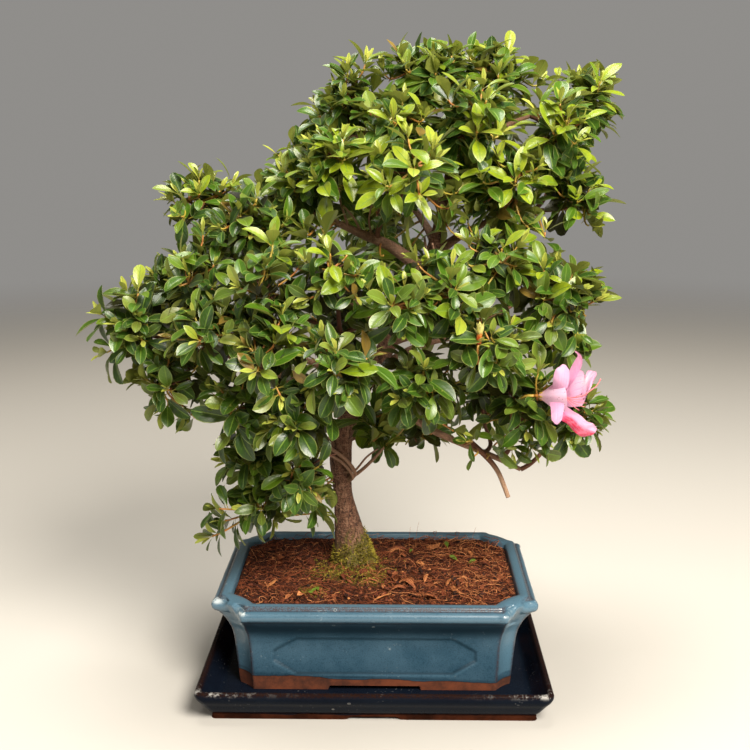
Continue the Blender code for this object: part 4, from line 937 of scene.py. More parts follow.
# Bare shoots that carry no leaves: the two that cross the trunk, the cut stub and thin sticks in the gaps
BARE_SHOOTS = {
    "crossing_left": ((-27, 6, 168), (-18, -4, 176), (-25, -7, 189), (-38, -9, 200), (-52, -12, 210), 1.9, 1.5),
    "crossing_lower": ((-27, 6, 166), (-20, -4, 173), (-27, -6, 185), (-38, -7, 193), (-52, -10, 200), 1.5, 1.2),
    "crossing_right": ((-27, 6, 168), (-16, -2, 176), (-4, -6, 188), (8, -10, 203), 1.8, 1.3),
    "crossing_thin": ((-29, 2, 176), (-18, -6, 180), (-8, -7, 192), (2, -8, 200), 1.1, 0.8),
    "fan_1": ((-26, -42, 394), (-34, -44, 402), (-40, -46, 414), 1.2, 0.7),
    "fan_2": ((-20, -43, 391), (-24, -48, 404), (-28, -52, 418), 1.1, 0.7),
    "fan_3": ((-10, -43, 387), (-16, -50, 400), (-24, -56, 410), 1.1, 0.6),
    "fan_4": ((0, -41, 381), (-4, -48, 396), (-2, -54, 410), 1.0, 0.6),
    "stick_1": ((38, -12, 356), (42, -30, 366), (40, -44, 384), 1.5, 0.9),
    "stick_2": ((44, -12, 352), (50, -34, 360), (46, -48, 380), 1.3, 0.8),
}
MOSS_TOP = 0.118
STUB = ((80, -32, 212), (92, -35, 202), (103, -36, 188), (112, -36, 166), 2.6, 1.9)
MILLIMETRE = 0.001
TRUNK_SIDES = 64
LIMB_SIDES = 18
TWIG_SIDES = 7
SHOOT_SIDES = 5
WOOD_STEP = 0.0016
FLARE = (0.10, 0.030)
FISSURE = (0.055, 0.035)
COLLAR = 0.55
BARK = ((0.042, 0.017, 0.009, 1.0), (0.142, 0.060, 0.032, 1.0), (0.400, 0.220, 0.132, 1.0))
TWIG_BROWN = (0.150, 0.055, 0.028, 1.0)
SHOOT_GREEN = (0.340, 0.280, 0.035, 1.0)
SHOOT_RED = (0.400, 0.150, 0.030, 1.0)
PALE_WOOD_AND_PAINTED_LIGHT = (0.480, 0.300, 0.190, 1.0)


def rough_wood(route, radii, sides, step, ages, collar=0.0, flare=0.0, seed=0.0):
    """A length of wood with fissured bark along a smooth route; ages run from shoot, 0, to old wood, 1."""
    route = np.column_stack([np.asarray(route, float), radii])
    fine = smooth_rows(route, 24)
    travel = np.concatenate([[0], np.cumsum(np.linalg.norm(np.diff(fine[:, :3], axis=0), axis=1))])
    count = max(6, int(travel[-1] / step))
    at = np.linspace(0, travel[-1], count)
    fine = np.column_stack([np.interp(at, travel, fine[:, axis]) for axis in range(4)])
    radii = fine[:, 3] * (1 + collar * np.exp(-at / (fine[0, 3] * 2.2)))
    rings, faces = tube(fine[:, :3], radii, sides)
    out = rings - fine[:, None, :3]
    unit = out / np.linalg.norm(out, axis=2)[:, :, None]
    for row in range(count):
        for column in range(sides):
            x, y, z = unit[row, column]
            swell = FISSURE[0] * noise.noise((x * 2.2 + seed, y * 2.2, z * 2.2 + at[row] * 22))
            swell += FISSURE[1] * noise.noise((x * 9 + seed, y * 9, z * 9 + at[row] * 60))
            if flare:
                angle = math.atan2(y, x)
                low = math.exp(-max(0.0, rings[row, column, 2] - SOIL_LEVEL) / FLARE[1])
                swell += flare * low * (0.4 + math.cos(angle * 3 + 0.7) * 0.6 + 0.5 * math.cos(angle * 5 + 2.0))
            rings[row, column] += out[row, column] * swell
    age = np.repeat(np.interp(at / travel[-1], np.linspace(0, 1, len(ages)), ages), sides)
    return rings.reshape(-1, 3), faces, {"age": age, "pale": 0.0}, fine[:, :3]


def bark_finish():
    """Bark from old, fissured grey-brown to smooth red-brown twigs and green shoots, by the age mask."""
    finish, tree, shader = new_finish("bark", Roughness=0.8)
    place = add(tree, "TexCoord").outputs["Object"]
    age = add(tree, "Attribute", attribute_name="age").outputs["Fac"]
    axes = add(tree, "SeparateXYZ", {"Vector": place}).outputs
    tall = add(tree, "CombineXYZ", {0: axes["X"], 1: axes["Y"], 2: maths(tree, "MULTIPLY", axes["Z"], 0.42)})
    cracks = speckle(tree, tall.outputs["Vector"], 560.0, 5.0, 0.70)
    plates = speckle(tree, tall.outputs["Vector"], 260.0, 4.0, 0.60)
    flat = add(tree, "CombineXYZ", {0: axes["X"], 1: axes["Y"], 2: maths(tree, "MULTIPLY", axes["Z"], 3.2)})
    wrinkles = speckle(tree, flat.outputs["Vector"], 240.0, 4.0, 0.65)
    grain = speckle(tree, place, 1100.0, 3.0, 0.7)
    old = blend_colours(tree, between(tree, cracks, 0.40, 0.53), BARK[0], BARK[1])
    old = blend_colours(tree, between(tree, plates, 0.52, 0.68, 0.0, 0.45), old, BARK[2])
    old = blend_colours(tree, between(tree, wrinkles, 0.54, 0.64, 0.0, 0.50), old, BARK[2])
    old = blend_colours(tree, between(tree, wrinkles, 0.44, 0.36, 0.0, 0.50), old, BARK[0])
    flakes = maths(tree, "MULTIPLY", between(tree, grain, 0.54, 0.66), between(tree, cracks, 0.44, 0.54))
    old = blend_colours(tree, maths(tree, "MULTIPLY", flakes, 0.75), old, BARK[2])
    young = blend_colours(tree, between(tree, speckle(tree, place, 60.0, 2.0, 0.5), 0.35, 0.65), SHOOT_GREEN, SHOOT_RED)
    twig = blend_colours(tree, between(tree, grain, 0.35, 0.7, 0.0, 0.5), TWIG_BROWN, BARK[1])
    colour = blend_colours(tree, between(tree, age, 0.05, 0.35), young, twig)
    colour = blend_colours(tree, between(tree, age, 0.50, 0.85), colour, old)
    # The pale mask: the cut stub's pale wood; on the limbs and bare shoots it is also painted light, standing in for
    # the light they catch
    pale = add(tree, "Attribute", attribute_name="pale").outputs["Fac"]
    bare = blend_colours(tree, between(tree, grain, 0.3, 0.7, 0.0, 0.5), PALE_WOOD_AND_PAINTED_LIGHT, TWIG_BROWN)
    colour = blend_colours(tree, pale, colour, bare)
    side = maths(tree, "MULTIPLY", maths(tree, "SUBTRACT", axes["X"], float(ROOT[0])), 0.55)
    level = maths(tree, "SUBTRACT", maths(tree, "ADD", axes["Z"], between(tree, plates, 0.3, 0.7, -0.010, 0.010)), side)
    near = add(tree, "VectorMath", {0: place, 1: (ROOT[0], ROOT[1], SOIL_LEVEL)}, operation="DISTANCE").outputs["Value"]
    mossy = maths(tree, "MULTIPLY", between(tree, level, 0.124, 0.104), between(tree, near, 0.060, 0.045))
    mossy = maths(tree, "MULTIPLY", mossy, between(tree, cracks, 0.60, 0.42, 0.55, 1.0))
    colour = grouped(tree, moss_tint, {"Under": colour, "Share": mossy})["Colour"]
    height = maths(tree, "ADD", maths(tree, "MULTIPLY", maths(tree, "ADD", cracks, wrinkles), age),
                   maths(tree, "MULTIPLY", grain, 0.25))
    bump = add(tree, "Bump", {"Height": height, "Strength": 1.0, "Distance": 0.0012})
    rough = between(tree, age, 0.0, 0.6, 0.45, 0.85)
    link_finish(tree, shader, Base_Color=colour, Normal=bump.outputs["Normal"], Roughness=rough)
    return finish


bark = bark_finish()
route = np.array(TRUNK, float) * MILLIMETRE
*trunk_shape, trunk_line = rough_wood(route[:, :3], route[:, 3], TRUNK_SIDES, WOOD_STEP, (1, 1, 0.9, 0.6), flare=FLARE[0])
shapes = [tuple(trunk_shape)]
wood_lines = {"trunk": trunk_line}
for index, (name, limb) in enumerate(LIMBS.items()):
    route = np.array(limb[:-2], float) * MILLIMETRE
    radii = np.linspace(limb[-2], limb[-1], len(route)) * MILLIMETRE
    *shape, line = rough_wood(route, radii, LIMB_SIDES, WOOD_STEP, (0.95, 0.8, 0.6), COLLAR, seed=index + 3.0)
    # Painted light: the limbs are made paler to stand in for the light they catch
    shape[2]["pale"] = 0.35
    shapes.append(tuple(shape))
    wood_lines[name] = line
for index, (name, shoot) in enumerate(BARE_SHOOTS.items()):
    route = np.array(shoot[:-2], float) * MILLIMETRE
    radii = np.linspace(shoot[-2], shoot[-1], len(route)) * MILLIMETRE
    *shape, line = rough_wood(route, radii, 8, WOOD_STEP, (0.45, 0.36, 0.30), 0.2, seed=index + 30.0)
    # Painted light: the bare shoots are made paler to stand in for the highlights they catch
    shape[2]["pale"] = 0.55
    shapes.append(tuple(shape))
route = np.array(STUB[:-2], float) * MILLIMETRE
*shape, line = rough_wood(route, np.linspace(STUB[-2], STUB[-1], 4) * MILLIMETRE, 12, 0.0012, (0.6, 0.5), 0.2, seed=50.0)
shape[2]["pale"] = np.clip((0.197 - shape[0][:, 2]) / 0.012, 0, 1)
shapes.append(tuple(shape))
points, faces, masks = gather(shapes)
trunk = mesh_of("trunk_and_limbs", points, faces, bark, **masks)
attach(trunk, "root")
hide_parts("trunk")

# Moss tufts: short upright leafy threads crowded on the root's foot and thinly on the soil round it
chance = random.Random(9)
foot = trunk_shape[0][(trunk_shape[0][:, 2] > SOIL_LEVEL) & (trunk_shape[0][:, 2] < MOSS_TOP + 0.012)]
shapes = []
blade_points, blade_tones = [], []
for index in range(TUFTS):
    on_foot = index % 5 > 1
    if on_foot:
        spot = foot[chance.randrange(len(foot))]
        side = (spot[0] - ROOT[0]) * 0.55
        if chance.random() > (MOSS_TOP - spot[2] + side) / 0.022:
            continue
        out = np.array((spot[0] - ROOT[0], spot[1] - ROOT[1], 0.008))
        spot = spot - out * 0.04
    else:
        x, y, radius = MOSS_PATCHES[chance.choice((0, 0, 0, 0, 1, 1, 1, 2, 3))]
        x, y = x + chance.gauss(0, radius * 0.55), y + chance.gauss(0, radius * 0.55)
        if in_tray(x, y, 0.004) < 0 or (x - ROOT[0]) ** 2 + (y - ROOT[1]) ** 2 < 0.016 ** 2:
            continue
        spot = np.array((x, y, ground(x, y) - 0.0003))
        out = np.array((chance.gauss(0, 0.4), chance.gauss(0, 0.4), 1.0))
    out = out / np.linalg.norm(out)
    tone = min(1.0, max(0.0, 0.5 + 1.3 * noise.noise(Vector(spot) * 170) + chance.gauss(0, 0.15)))
    size = 1.8 if on_foot else 1.1
    for blade in range(4):
        lean = out + np.array([chance.gauss(0, 0.45) for _ in range(3)])
        lean /= np.linalg.norm(lean)
        across = np.cross(lean, (chance.gauss(0, 1), chance.gauss(0, 1), chance.gauss(0, 1)))
        across *= 0.00024 * size / np.linalg.norm(across)
        tall = chance.uniform(0.0009, 0.0026) * size
        blade_points += [spot - across, spot + across, spot + lean * tall * 0.6 + across * 0.8, spot + lean * tall]
        blade_tones += [tone * 0.5, tone * 0.5, 0.35 + tone * 0.5, 0.55 + tone * 0.45]
count = len(blade_points) // 4
faces = np.arange(count * 4).reshape(count, 4)
moss_finish = litter_finish(
    "moss", ((0.024, 0.020, 0.003, 1.0), (0.180, 0.145, 0.014, 1.0), (0.520, 0.420, 0.060, 1.0)), 0.8
)
moss = mesh_of("moss_tufts", np.array(blade_points), [faces], moss_finish, tone=np.array(blade_tones))
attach(moss, "root")
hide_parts("soil")


# Leafy sprays: thin leathery leaves, glossy above and paler below, on short stalks round the ends of green to
# red-brown shoots, with small yellow-green ones opening at the heart. They grew from the limbs' twigs.
# Along the blade: how far, then the half-width of a pointed leaf and of a rounded one
LEAF_STATIONS = (
    (0.0, 0.07, 0.07), (0.15, 0.11, 0.08), (0.27, 0.46, 0.30), (0.40, 0.82, 0.60), (0.54, 1.0, 0.86),
    (0.68, 0.94, 1.0), (0.82, 0.68, 0.92), (0.93, 0.32, 0.56), (1.0, 0.02, 0.05),
)
# Small leaves keep only some of these rows
SMALL_LEAF_ROWS = [0, 1, 3, 5, 7, 8]
LEAF_ACROSS = (-1.0, -0.5, 0.0, 0.5, 1.0)
GOLDEN_ANGLE = math.pi * (3 - math.sqrt(5))
CROWN_HEART = np.array((0.010, 0.0, 0.300))
CROWN_FLATTEN = 0.8
ROSETTES = (10, 13, 15)
LARGE_SPRAYS = (0.037, 0.045)
INNER_SHOOTS = (9, 13)
CROWN_TOP = 0.42
CROWN_PEAK = 0.526
SPRAY_SHARE = 0.95
LIT_WAY = np.array((0.25, -0.70, 0.67))
# Where the leaves get the most painted light: the middle of that part, seen from the front, and its half size
BRIGHT_PART = ((0.025, 0.448), (0.075, 0.042))
# Spots that no leaf hides from the front, and how wide the line of sight is kept: bloom, bud and pale stub
KEPT_CLEAR = (
    ((0.134, -0.082, 0.263), 0.008), ((0.144, -0.088, 0.264), 0.013), ((0.152, -0.092, 0.276), 0.016),
    ((0.166, -0.092, 0.266), 0.020), ((0.150, -0.095, 0.246), 0.013), ((0.166, -0.096, 0.236), 0.014),
    ((0.079, -0.127, 0.313), 0.005), ((0.080, -0.128, 0.321), 0.007), ((0.081, -0.128, 0.328), 0.007),
    ((0.074, -0.130, 0.325), 0.006), ((0.084, -0.130, 0.320), 0.005),
    ((-0.030, -0.008, 0.192), 0.010), ((-0.020, -0.006, 0.182), 0.008), ((-0.006, -0.006, 0.188), 0.007),
    ((-0.022, 0.000, 0.170), 0.008), ((-0.022, 0.000, 0.158), 0.009), ((-0.014, -0.040, 0.388), 0.010),
    ((0.010, -0.038, 0.378), 0.008),
    ((0.088, -0.034, 0.206), 0.004), ((0.096, -0.035, 0.198), 0.005), ((0.103, -0.036, 0.188), 0.006),
    ((0.108, -0.036, 0.176), 0.007), ((0.112, -0.036, 0.167), 0.008),
)
# Notches in the crown's outline seen from the front, kept clear in the same way
NOTCHES = (
    ((0.184, 0.060, 0.372), 0.011), ((0.194, 0.030, 0.304), 0.010), ((0.030, 0.060, 0.174), 0.009),
    ((0.052, 0.060, 0.174), 0.010), ((0.074, 0.060, 0.172), 0.008), ((-0.150, 0.020, 0.208), 0.008),
    ((-0.208, 0.000, 0.242), 0.007), ((-0.212, 0.020, 0.364), 0.008), ((-0.184, 0.020, 0.378), 0.008),
    ((-0.084, 0.030, 0.462), 0.007), ((-0.062, 0.020, 0.502), 0.010),
)
# Shoots that close the gaps between the sprays, in millimetres
LINK_SHOOTS = (
    (8, 0, 512), (20, -4, 528), (-2, 6, 498), (136, 20, 506), (152, 22, 508), (148, 4, 492),
    (72, -40, 418), (74, -46, 396), (64, -48, 404), (82, -40, 436), (88, -44, 404),
    (-70, -58, 396), (-54, -62, 390), (-40, -66, 392), (-86, -50, 400), (122, -46, 392), (136, -40, 388),
    (118, -30, 404), (2, -34, 226), (10, -40, 212), (0, -30, 214), (-46, -34, 178), (-44, -30, 162), (-48, -38, 192),
    (-46, -34, 150), (-58, -36, 168), (-52, 0, 150), (-48, 10, 164), (-128, 0, 420), (-120, 10, 424),
    (176, -20, 336), (182, 0, 506),
    (74, -66, 222), (80, -62, 208), (64, -70, 232), (92, -52, 204), (-134, -64, 140), (-124, -60, 152),
    (-128, -70, 166), (-218, -50, 322), (-217, -52, 292), (-206, -44, 306), (136, -78, 272), (128, -84, 282),
    (-80, 0, 448), (40, -60, 412), (20, -66, 402), (8, -60, 372), (46, -84, 318), (-4, -96, 318),
    (58, -70, 340), (96, -60, 338), (-100, -70, 330), (-60, -80, 330), (-110, -72, 280), (-140, -60, 286),
)
LINK_SHOOTS += (
    (-10, 0, 234), (-6, -10, 222), (2, -14, 216), (-2, -28, 236), (8, -30, 224), (16, -24, 214), (4, -6, 206),
    (-12, -16, 246), (50, -24, 462), (60, -26, 470), (68, -22, 456), (54, -28, 448),
    (96, -36, 398), (104, -34, 404), (112, -30, 396), (-76, -50, 384), (-66, -54, 378),
    (-22, -4, 514), (-8, 2, 520), (62, -4, 536), (76, 0, 534), (58, -60, 408), (64, -62, 420), (56, -58, 396),
    (66, -60, 286), (70, -64, 272), (62, -58, 262), (74, -62, 300), (96, -60, 216), (112, -56, 212),
    (128, -56, 214), (136, -52, 220), (-172, -40, 244), (-158, -44, 240), (-148, -46, 236),
    (-10, 26, 384), (8, 26, 374), (26, 24, 364), (-28, 26, 392), (0, 34, 360), (20, 34, 350),
)
# Sprays that grow closer to the crown: how far their leaves stand to the right and up from the solid's middle,
# in millimetres, and the share of its reach that they fill
HELD_IN = {
    "spray_left_2": (10, -9, 0.80), "spray_apex_3": (-13, -3, 0.78), "spray_shoulder_2": (13, -6, 0.78),
    "spray_right_4": (-4, -8, 0.82), "spray_apex_6": (-6, 4, 0.86), "spray_low_left_3": (1, 6, 0.88),
    "spray_low_right_2": (4, 4, 0.88), "spray_left_1": (4, 0, 0.92), "spray_upper_left_3": (2, -5, 0.86),
    "spray_low_left_1": (5, 0, 0.92), "spray_low_right_3": (-3, 0, 0.92), "spray_back_1": (0, 6, 0.92),
    "spray_shoulder_6": (3, -3, 0.92), "spray_right_6": (-4, 0, 0.95), "spray_back_4": (-2, -4, 0.88),
    "spray_right_3": (0, -4, 0.95),
}
LEAF_SHADED = (0.011, 0.011, 0.003, 1.0)
LEAF_DEEP = (0.013, 0.046, 0.004, 1.0)
LEAF_MID = (0.050, 0.126, 0.004, 1.0)
LEAF_LIGHT = (0.245, 0.315, 0.006, 1.0)
LEAF_YOUNG = (0.420, 0.460, 0.070, 1.0)
LEAF_UNDER = (0.190, 0.215, 0.034, 1.0)
LEAF_VEIN = (0.160, 0.260, 0.030, 1.0)
LEAF_STALK = (0.360, 0.270, 0.030, 1.0)
LEAF_AGED = (0.180, 0.090, 0.022, 1.0)
LEAF_MARGIN_AND_RIM_LIGHT = (0.330, 0.360, 0.090, 1.0)


def leaf_blades(leaves, small=False):
    """Many leaves as one shape: each arches along its length, folds on its midrib and rolls down at its edges."""
    columns = [np.array(column, float) for column in zip(*leaves)]
    stems, headings, tops, lengths, widths, droops, folds, sweeps, tones, youths = columns
    stations = np.array(LEAF_STATIONS)
    along, pointed, rounded = (stations[SMALL_LEAF_ROWS] if small else stations).T
    roundness = ((tones * 37.0) % 1.0)[:, None]
    shares = pointed * (1 - roundness) + rounded * roundness
    across = np.array(LEAF_ACROSS)[::2 if small else 1]
    side = np.cross(headings, tops)
    side /= np.linalg.norm(side, axis=1)[:, None]
    top = np.cross(side, headings)
    steps = np.diff(along, prepend=0.0)
    bend = droops[:, None] * (along[None] ** 1.4) - 0.18 * (1 - along[None])
    forward = np.cumsum(np.cos(bend) * steps, axis=1) * lengths[:, None]
    down = np.cumsum(np.sin(bend) * steps, axis=1) * lengths[:, None]
    rise = top[:, None] * np.cos(bend)[:, :, None] + headings[:, None] * np.sin(bend)[:, :, None]
    spine = stems[:, None] + headings[:, None] * forward[:, :, None] - top[:, None] * down[:, :, None]
    spine = spine + side[:, None] * (sweeps * lengths)[:, None, None] * (along ** 2)[None, :, None]
    half = widths[:, None] * shares / 2
    lift = folds[:, None, None] * np.abs(across) - 0.20 * across ** 2
    ripple = 0.04 * np.sin(along[None, :, None] * 9 + tones[:, None, None] * 40 + across * 2) * np.abs(across)
    points = spine[:, :, None] + side[:, None, None] * (half[:, :, None] * across)[..., None]
    points = points + rise[:, :, None] * (half[:, :, None] * (lift + ripple))[..., None]
    rows, columns = len(along), len(across)
    corner = (np.arange(rows - 1)[:, None] * columns + np.arange(columns - 1)[None]).ravel()
    quads = np.stack([corner, corner + 1, corner + columns + 1, corner + columns], axis=1)
    count = len(stems)
    faces = (np.arange(count)[:, None, None] * rows * columns + quads[None]).reshape(-1, 4)
    blade = np.zeros((count, rows, columns, 3))
    blade[..., 0] = across
    blade[..., 1] = along[:, None]
    blade[..., 2] = tones[:, None, None]
    youth = np.repeat(youths, rows * columns)
    return points.reshape(-1, 3), [faces], {"blade": blade.reshape(-1, 3), "youth": youth}


def leaf_finish():
    """A leathery leaf: sunk midrib and side veins, mottled greens, a pale underside and light coming through."""
    finish, tree, shader = new_finish(
        "leaf", IOR=1.36, Coat_Weight=0.42, Coat_Roughness=0.28, Sheen_Weight=0.06, Sheen_Roughness=0.40
    )
    blade = add(tree, "SeparateXYZ", {"Vector": add(tree, "Attribute", attribute_name="blade").outputs["Vector"]})
    across, along, tone = (blade.outputs[axis] for axis in ("X", "Y", "Z"))
    youth = add(tree, "Attribute", attribute_name="youth").outputs["Fac"]
    place = add(tree, "TexCoord").outputs["Object"]
    away = maths(tree, "ABSOLUTE", across)
    midrib = between(tree, away, 0.13, 0.04)
    curve = maths(tree, "SUBTRACT", along, maths(tree, "MULTIPLY", maths(tree, "POWER", away, 1.3), 0.22))
    wave = maths(tree, "ABSOLUTE", maths(tree, "SINE", maths(tree, "MULTIPLY", curve, 22.0)))
    veins = maths(tree, "MULTIPLY", between(tree, wave, 0.22, 0.05), between(tree, away, 0.95, 0.70))
    mottle = speckle(tree, place, 260.0, 3.0, 0.6)
    deep = blend_colours(tree, between(tree, tone, 0.12, 0.5), LEAF_DEEP, LEAF_MID)
    deep = blend_colours(tree, between(tree, tone, 0.5, 0.95), deep, LEAF_LIGHT)
    deep = blend_colours(tree, between(tree, mottle, 0.35, 0.65, 0.0, 0.30), deep, LEAF_MID)
    shaded = between(tree, tone, 0.12, 0.02)
    deep = blend_colours(tree, shaded, deep, LEAF_SHADED)
    young = blend_colours(tree, between(tree, along, 0.1, 0.9, 0.35, 0.0), LEAF_YOUNG, SHOOT_RED)
    colour = blend_colours(tree, youth, deep, young)
    lines = maths(tree, "ADD", maths(tree, "MULTIPLY", midrib, 0.75), maths(tree, "MULTIPLY", veins, 0.22), clamp=True)
    lines = maths(tree, "MULTIPLY", lines, maths(tree, "SUBTRACT", 1.0, shaded))
    colour = blend_colours(tree, lines, colour, LEAF_VEIN)
    colour = blend_colours(tree, between(tree, along, 0.24, 0.10, 0.0, 0.9), colour, LEAF_STALK)
    # Painted rim light: a pale band along each lit leaf's margin, over the pale edge the hairy leaf has; shaded leaves
    # don't get it
    margin = between(tree, away, 0.84, 0.99, 0.0, 0.55)
    margin = maths(tree, "MULTIPLY", margin, maths(tree, "SUBTRACT", 1.0, shaded))
    colour = blend_colours(tree, margin, colour, LEAF_MARGIN_AND_RIM_LIGHT)
    aged = maths(tree, "GREATER_THAN", tone, 0.985)
    colour = blend_colours(tree, maths(tree, "MULTIPLY", aged, 0.85), colour, LEAF_AGED)
    back = add(tree, "NewGeometry").outputs["Backfacing"]
    under = blend_colours(tree, maths(tree, "MULTIPLY", lines, 0.6), LEAF_UNDER, LEAF_VEIN)
    under = blend_colours(tree, maths(tree, "MULTIPLY", youth, 0.6), under, LEAF_YOUNG)
    under = blend_colours(tree, shaded, under, LEAF_SHADED)
    colour = blend_colours(tree, back, colour, under)
    rough = maths(tree, "ADD", maths(tree, "MULTIPLY", back, 0.25), between(tree, mottle, 0.3, 0.7, 0.32, 0.44))
    height = maths(tree, "ADD", maths(tree, "MULTIPLY", midrib, 0.9), maths(tree, "MULTIPLY", veins, 0.6))
    height = maths(tree, "SUBTRACT", maths(tree, "MULTIPLY", mottle, 0.25), height)
    bump = add(tree, "Bump", {"Height": height, "Strength": 0.6, "Distance": 0.0006})
    link_finish(tree, shader, Base_Color=colour, Roughness=rough, Normal=bump.outputs["Normal"])
    through = add(tree, "BsdfTranslucent", {"Color": blend_colours(tree, 0.35, colour, LEAF_YOUNG)})
    tree.links.new(bump.outputs["Normal"], through.inputs["Normal"])
    both = add(tree, "MixShader", {0: 0.22, 1: shader.outputs[0], 2: through.outputs[0]})
    tree.links.new(both.outputs[0], tree.nodes["Material Output"].inputs["Surface"])
    return finish


def unit(vector):
    return vector / np.linalg.norm(vector)


def rosette(chance, spot, axis, size, young, light):
    """Leaves round a shoot's end: the lowest lie flat or droop, the inner ones stand up. Grown and young apart."""
    count = chance.choice((4, 5, 5, 6, 6, 7))
    turn = chance.uniform(0, math.tau)
    first = unit(np.cross(axis, (0.31, 0.52, 0.8)))
    second = np.cross(axis, first)
    light = light + chance.gauss(0, 0.15)
    grown, opening = [], []
    for index in range(count + young):
        inner = index >= count
        share = index / max(count - 1, 1)
        tilt = chance.uniform(0.15, 0.50) if inner else 1.50 - 0.72 * share + chance.gauss(0, 0.20)
        angle = turn + index * GOLDEN_ANGLE + chance.gauss(0, 0.15)
        radial = first * math.cos(angle) + second * math.sin(angle)
        heading = unit(axis * math.cos(tilt) + radial * math.sin(tilt))
        top = unit(axis + np.array((0.06, -0.15, 0.45)) + radial * 0.1)
        length = chance.uniform(0.008, 0.016) if inner else (0.0300 - 0.0080 * share) * chance.uniform(0.60, 1.14)
        stem = spot - axis * (0.0 if inner else (1 - share) * 0.009)
        width = length * (chance.uniform(0.24, 0.34) if inner else chance.uniform(0.32, 0.45))
        tone = min(0.98, max(0.10, chance.gauss(light, 0.20)))
        if chance.random() < 0.010:
            tone = 1.0
        (opening if inner else grown).append((
            stem, heading, top, length * size, width * size,
            chance.uniform(-0.1, 0.35) if inner else chance.uniform(0.05, 0.60), chance.uniform(0.35, 0.70),
            chance.gauss(0, 0.05), tone,
            chance.uniform(0.7, 1.0) if inner else max(0.0, 0.6 * share * chance.random() - 0.15),
        ))
    return grown, opening


def hiding(leaves):
    """Which leaves stand between the front viewpoint and a spot that is kept clear."""
    eye = np.array(VIEWPOINT)
    stems, headings, lengths = (np.array([row[index] for row in leaves]) for index in (0, 1, 3))
    hidden = np.zeros(len(leaves), bool)
    for spot, radius in KEPT_CLEAR + NOTCHES:
        sight = np.array(spot) - eye
        far = np.linalg.norm(sight)
        sight /= far
        for share in (0.2, 0.6, 1.0):
            points = stems + headings * (lengths * share)[:, None] - eye
            along = points @ sight
            aside = np.linalg.norm(points - along[:, None] * sight, axis=1)
            hidden |= (along < far) & (aside < radius + 0.003)
    return hidden


def bend(start, start_heading, end, end_heading, steps, reach=0.35):
    """A smooth route that leaves and arrives by the given headings."""
    span = np.linalg.norm(end - start) * reach
    t = np.linspace(0, 1, steps)[:, None]
    second, third = start + start_heading * span, end - end_heading * span
    return (1 - t) ** 3 * start + 3 * (1 - t) ** 2 * t * second + 3 * (1 - t) * t ** 2 * third + t ** 3 * end


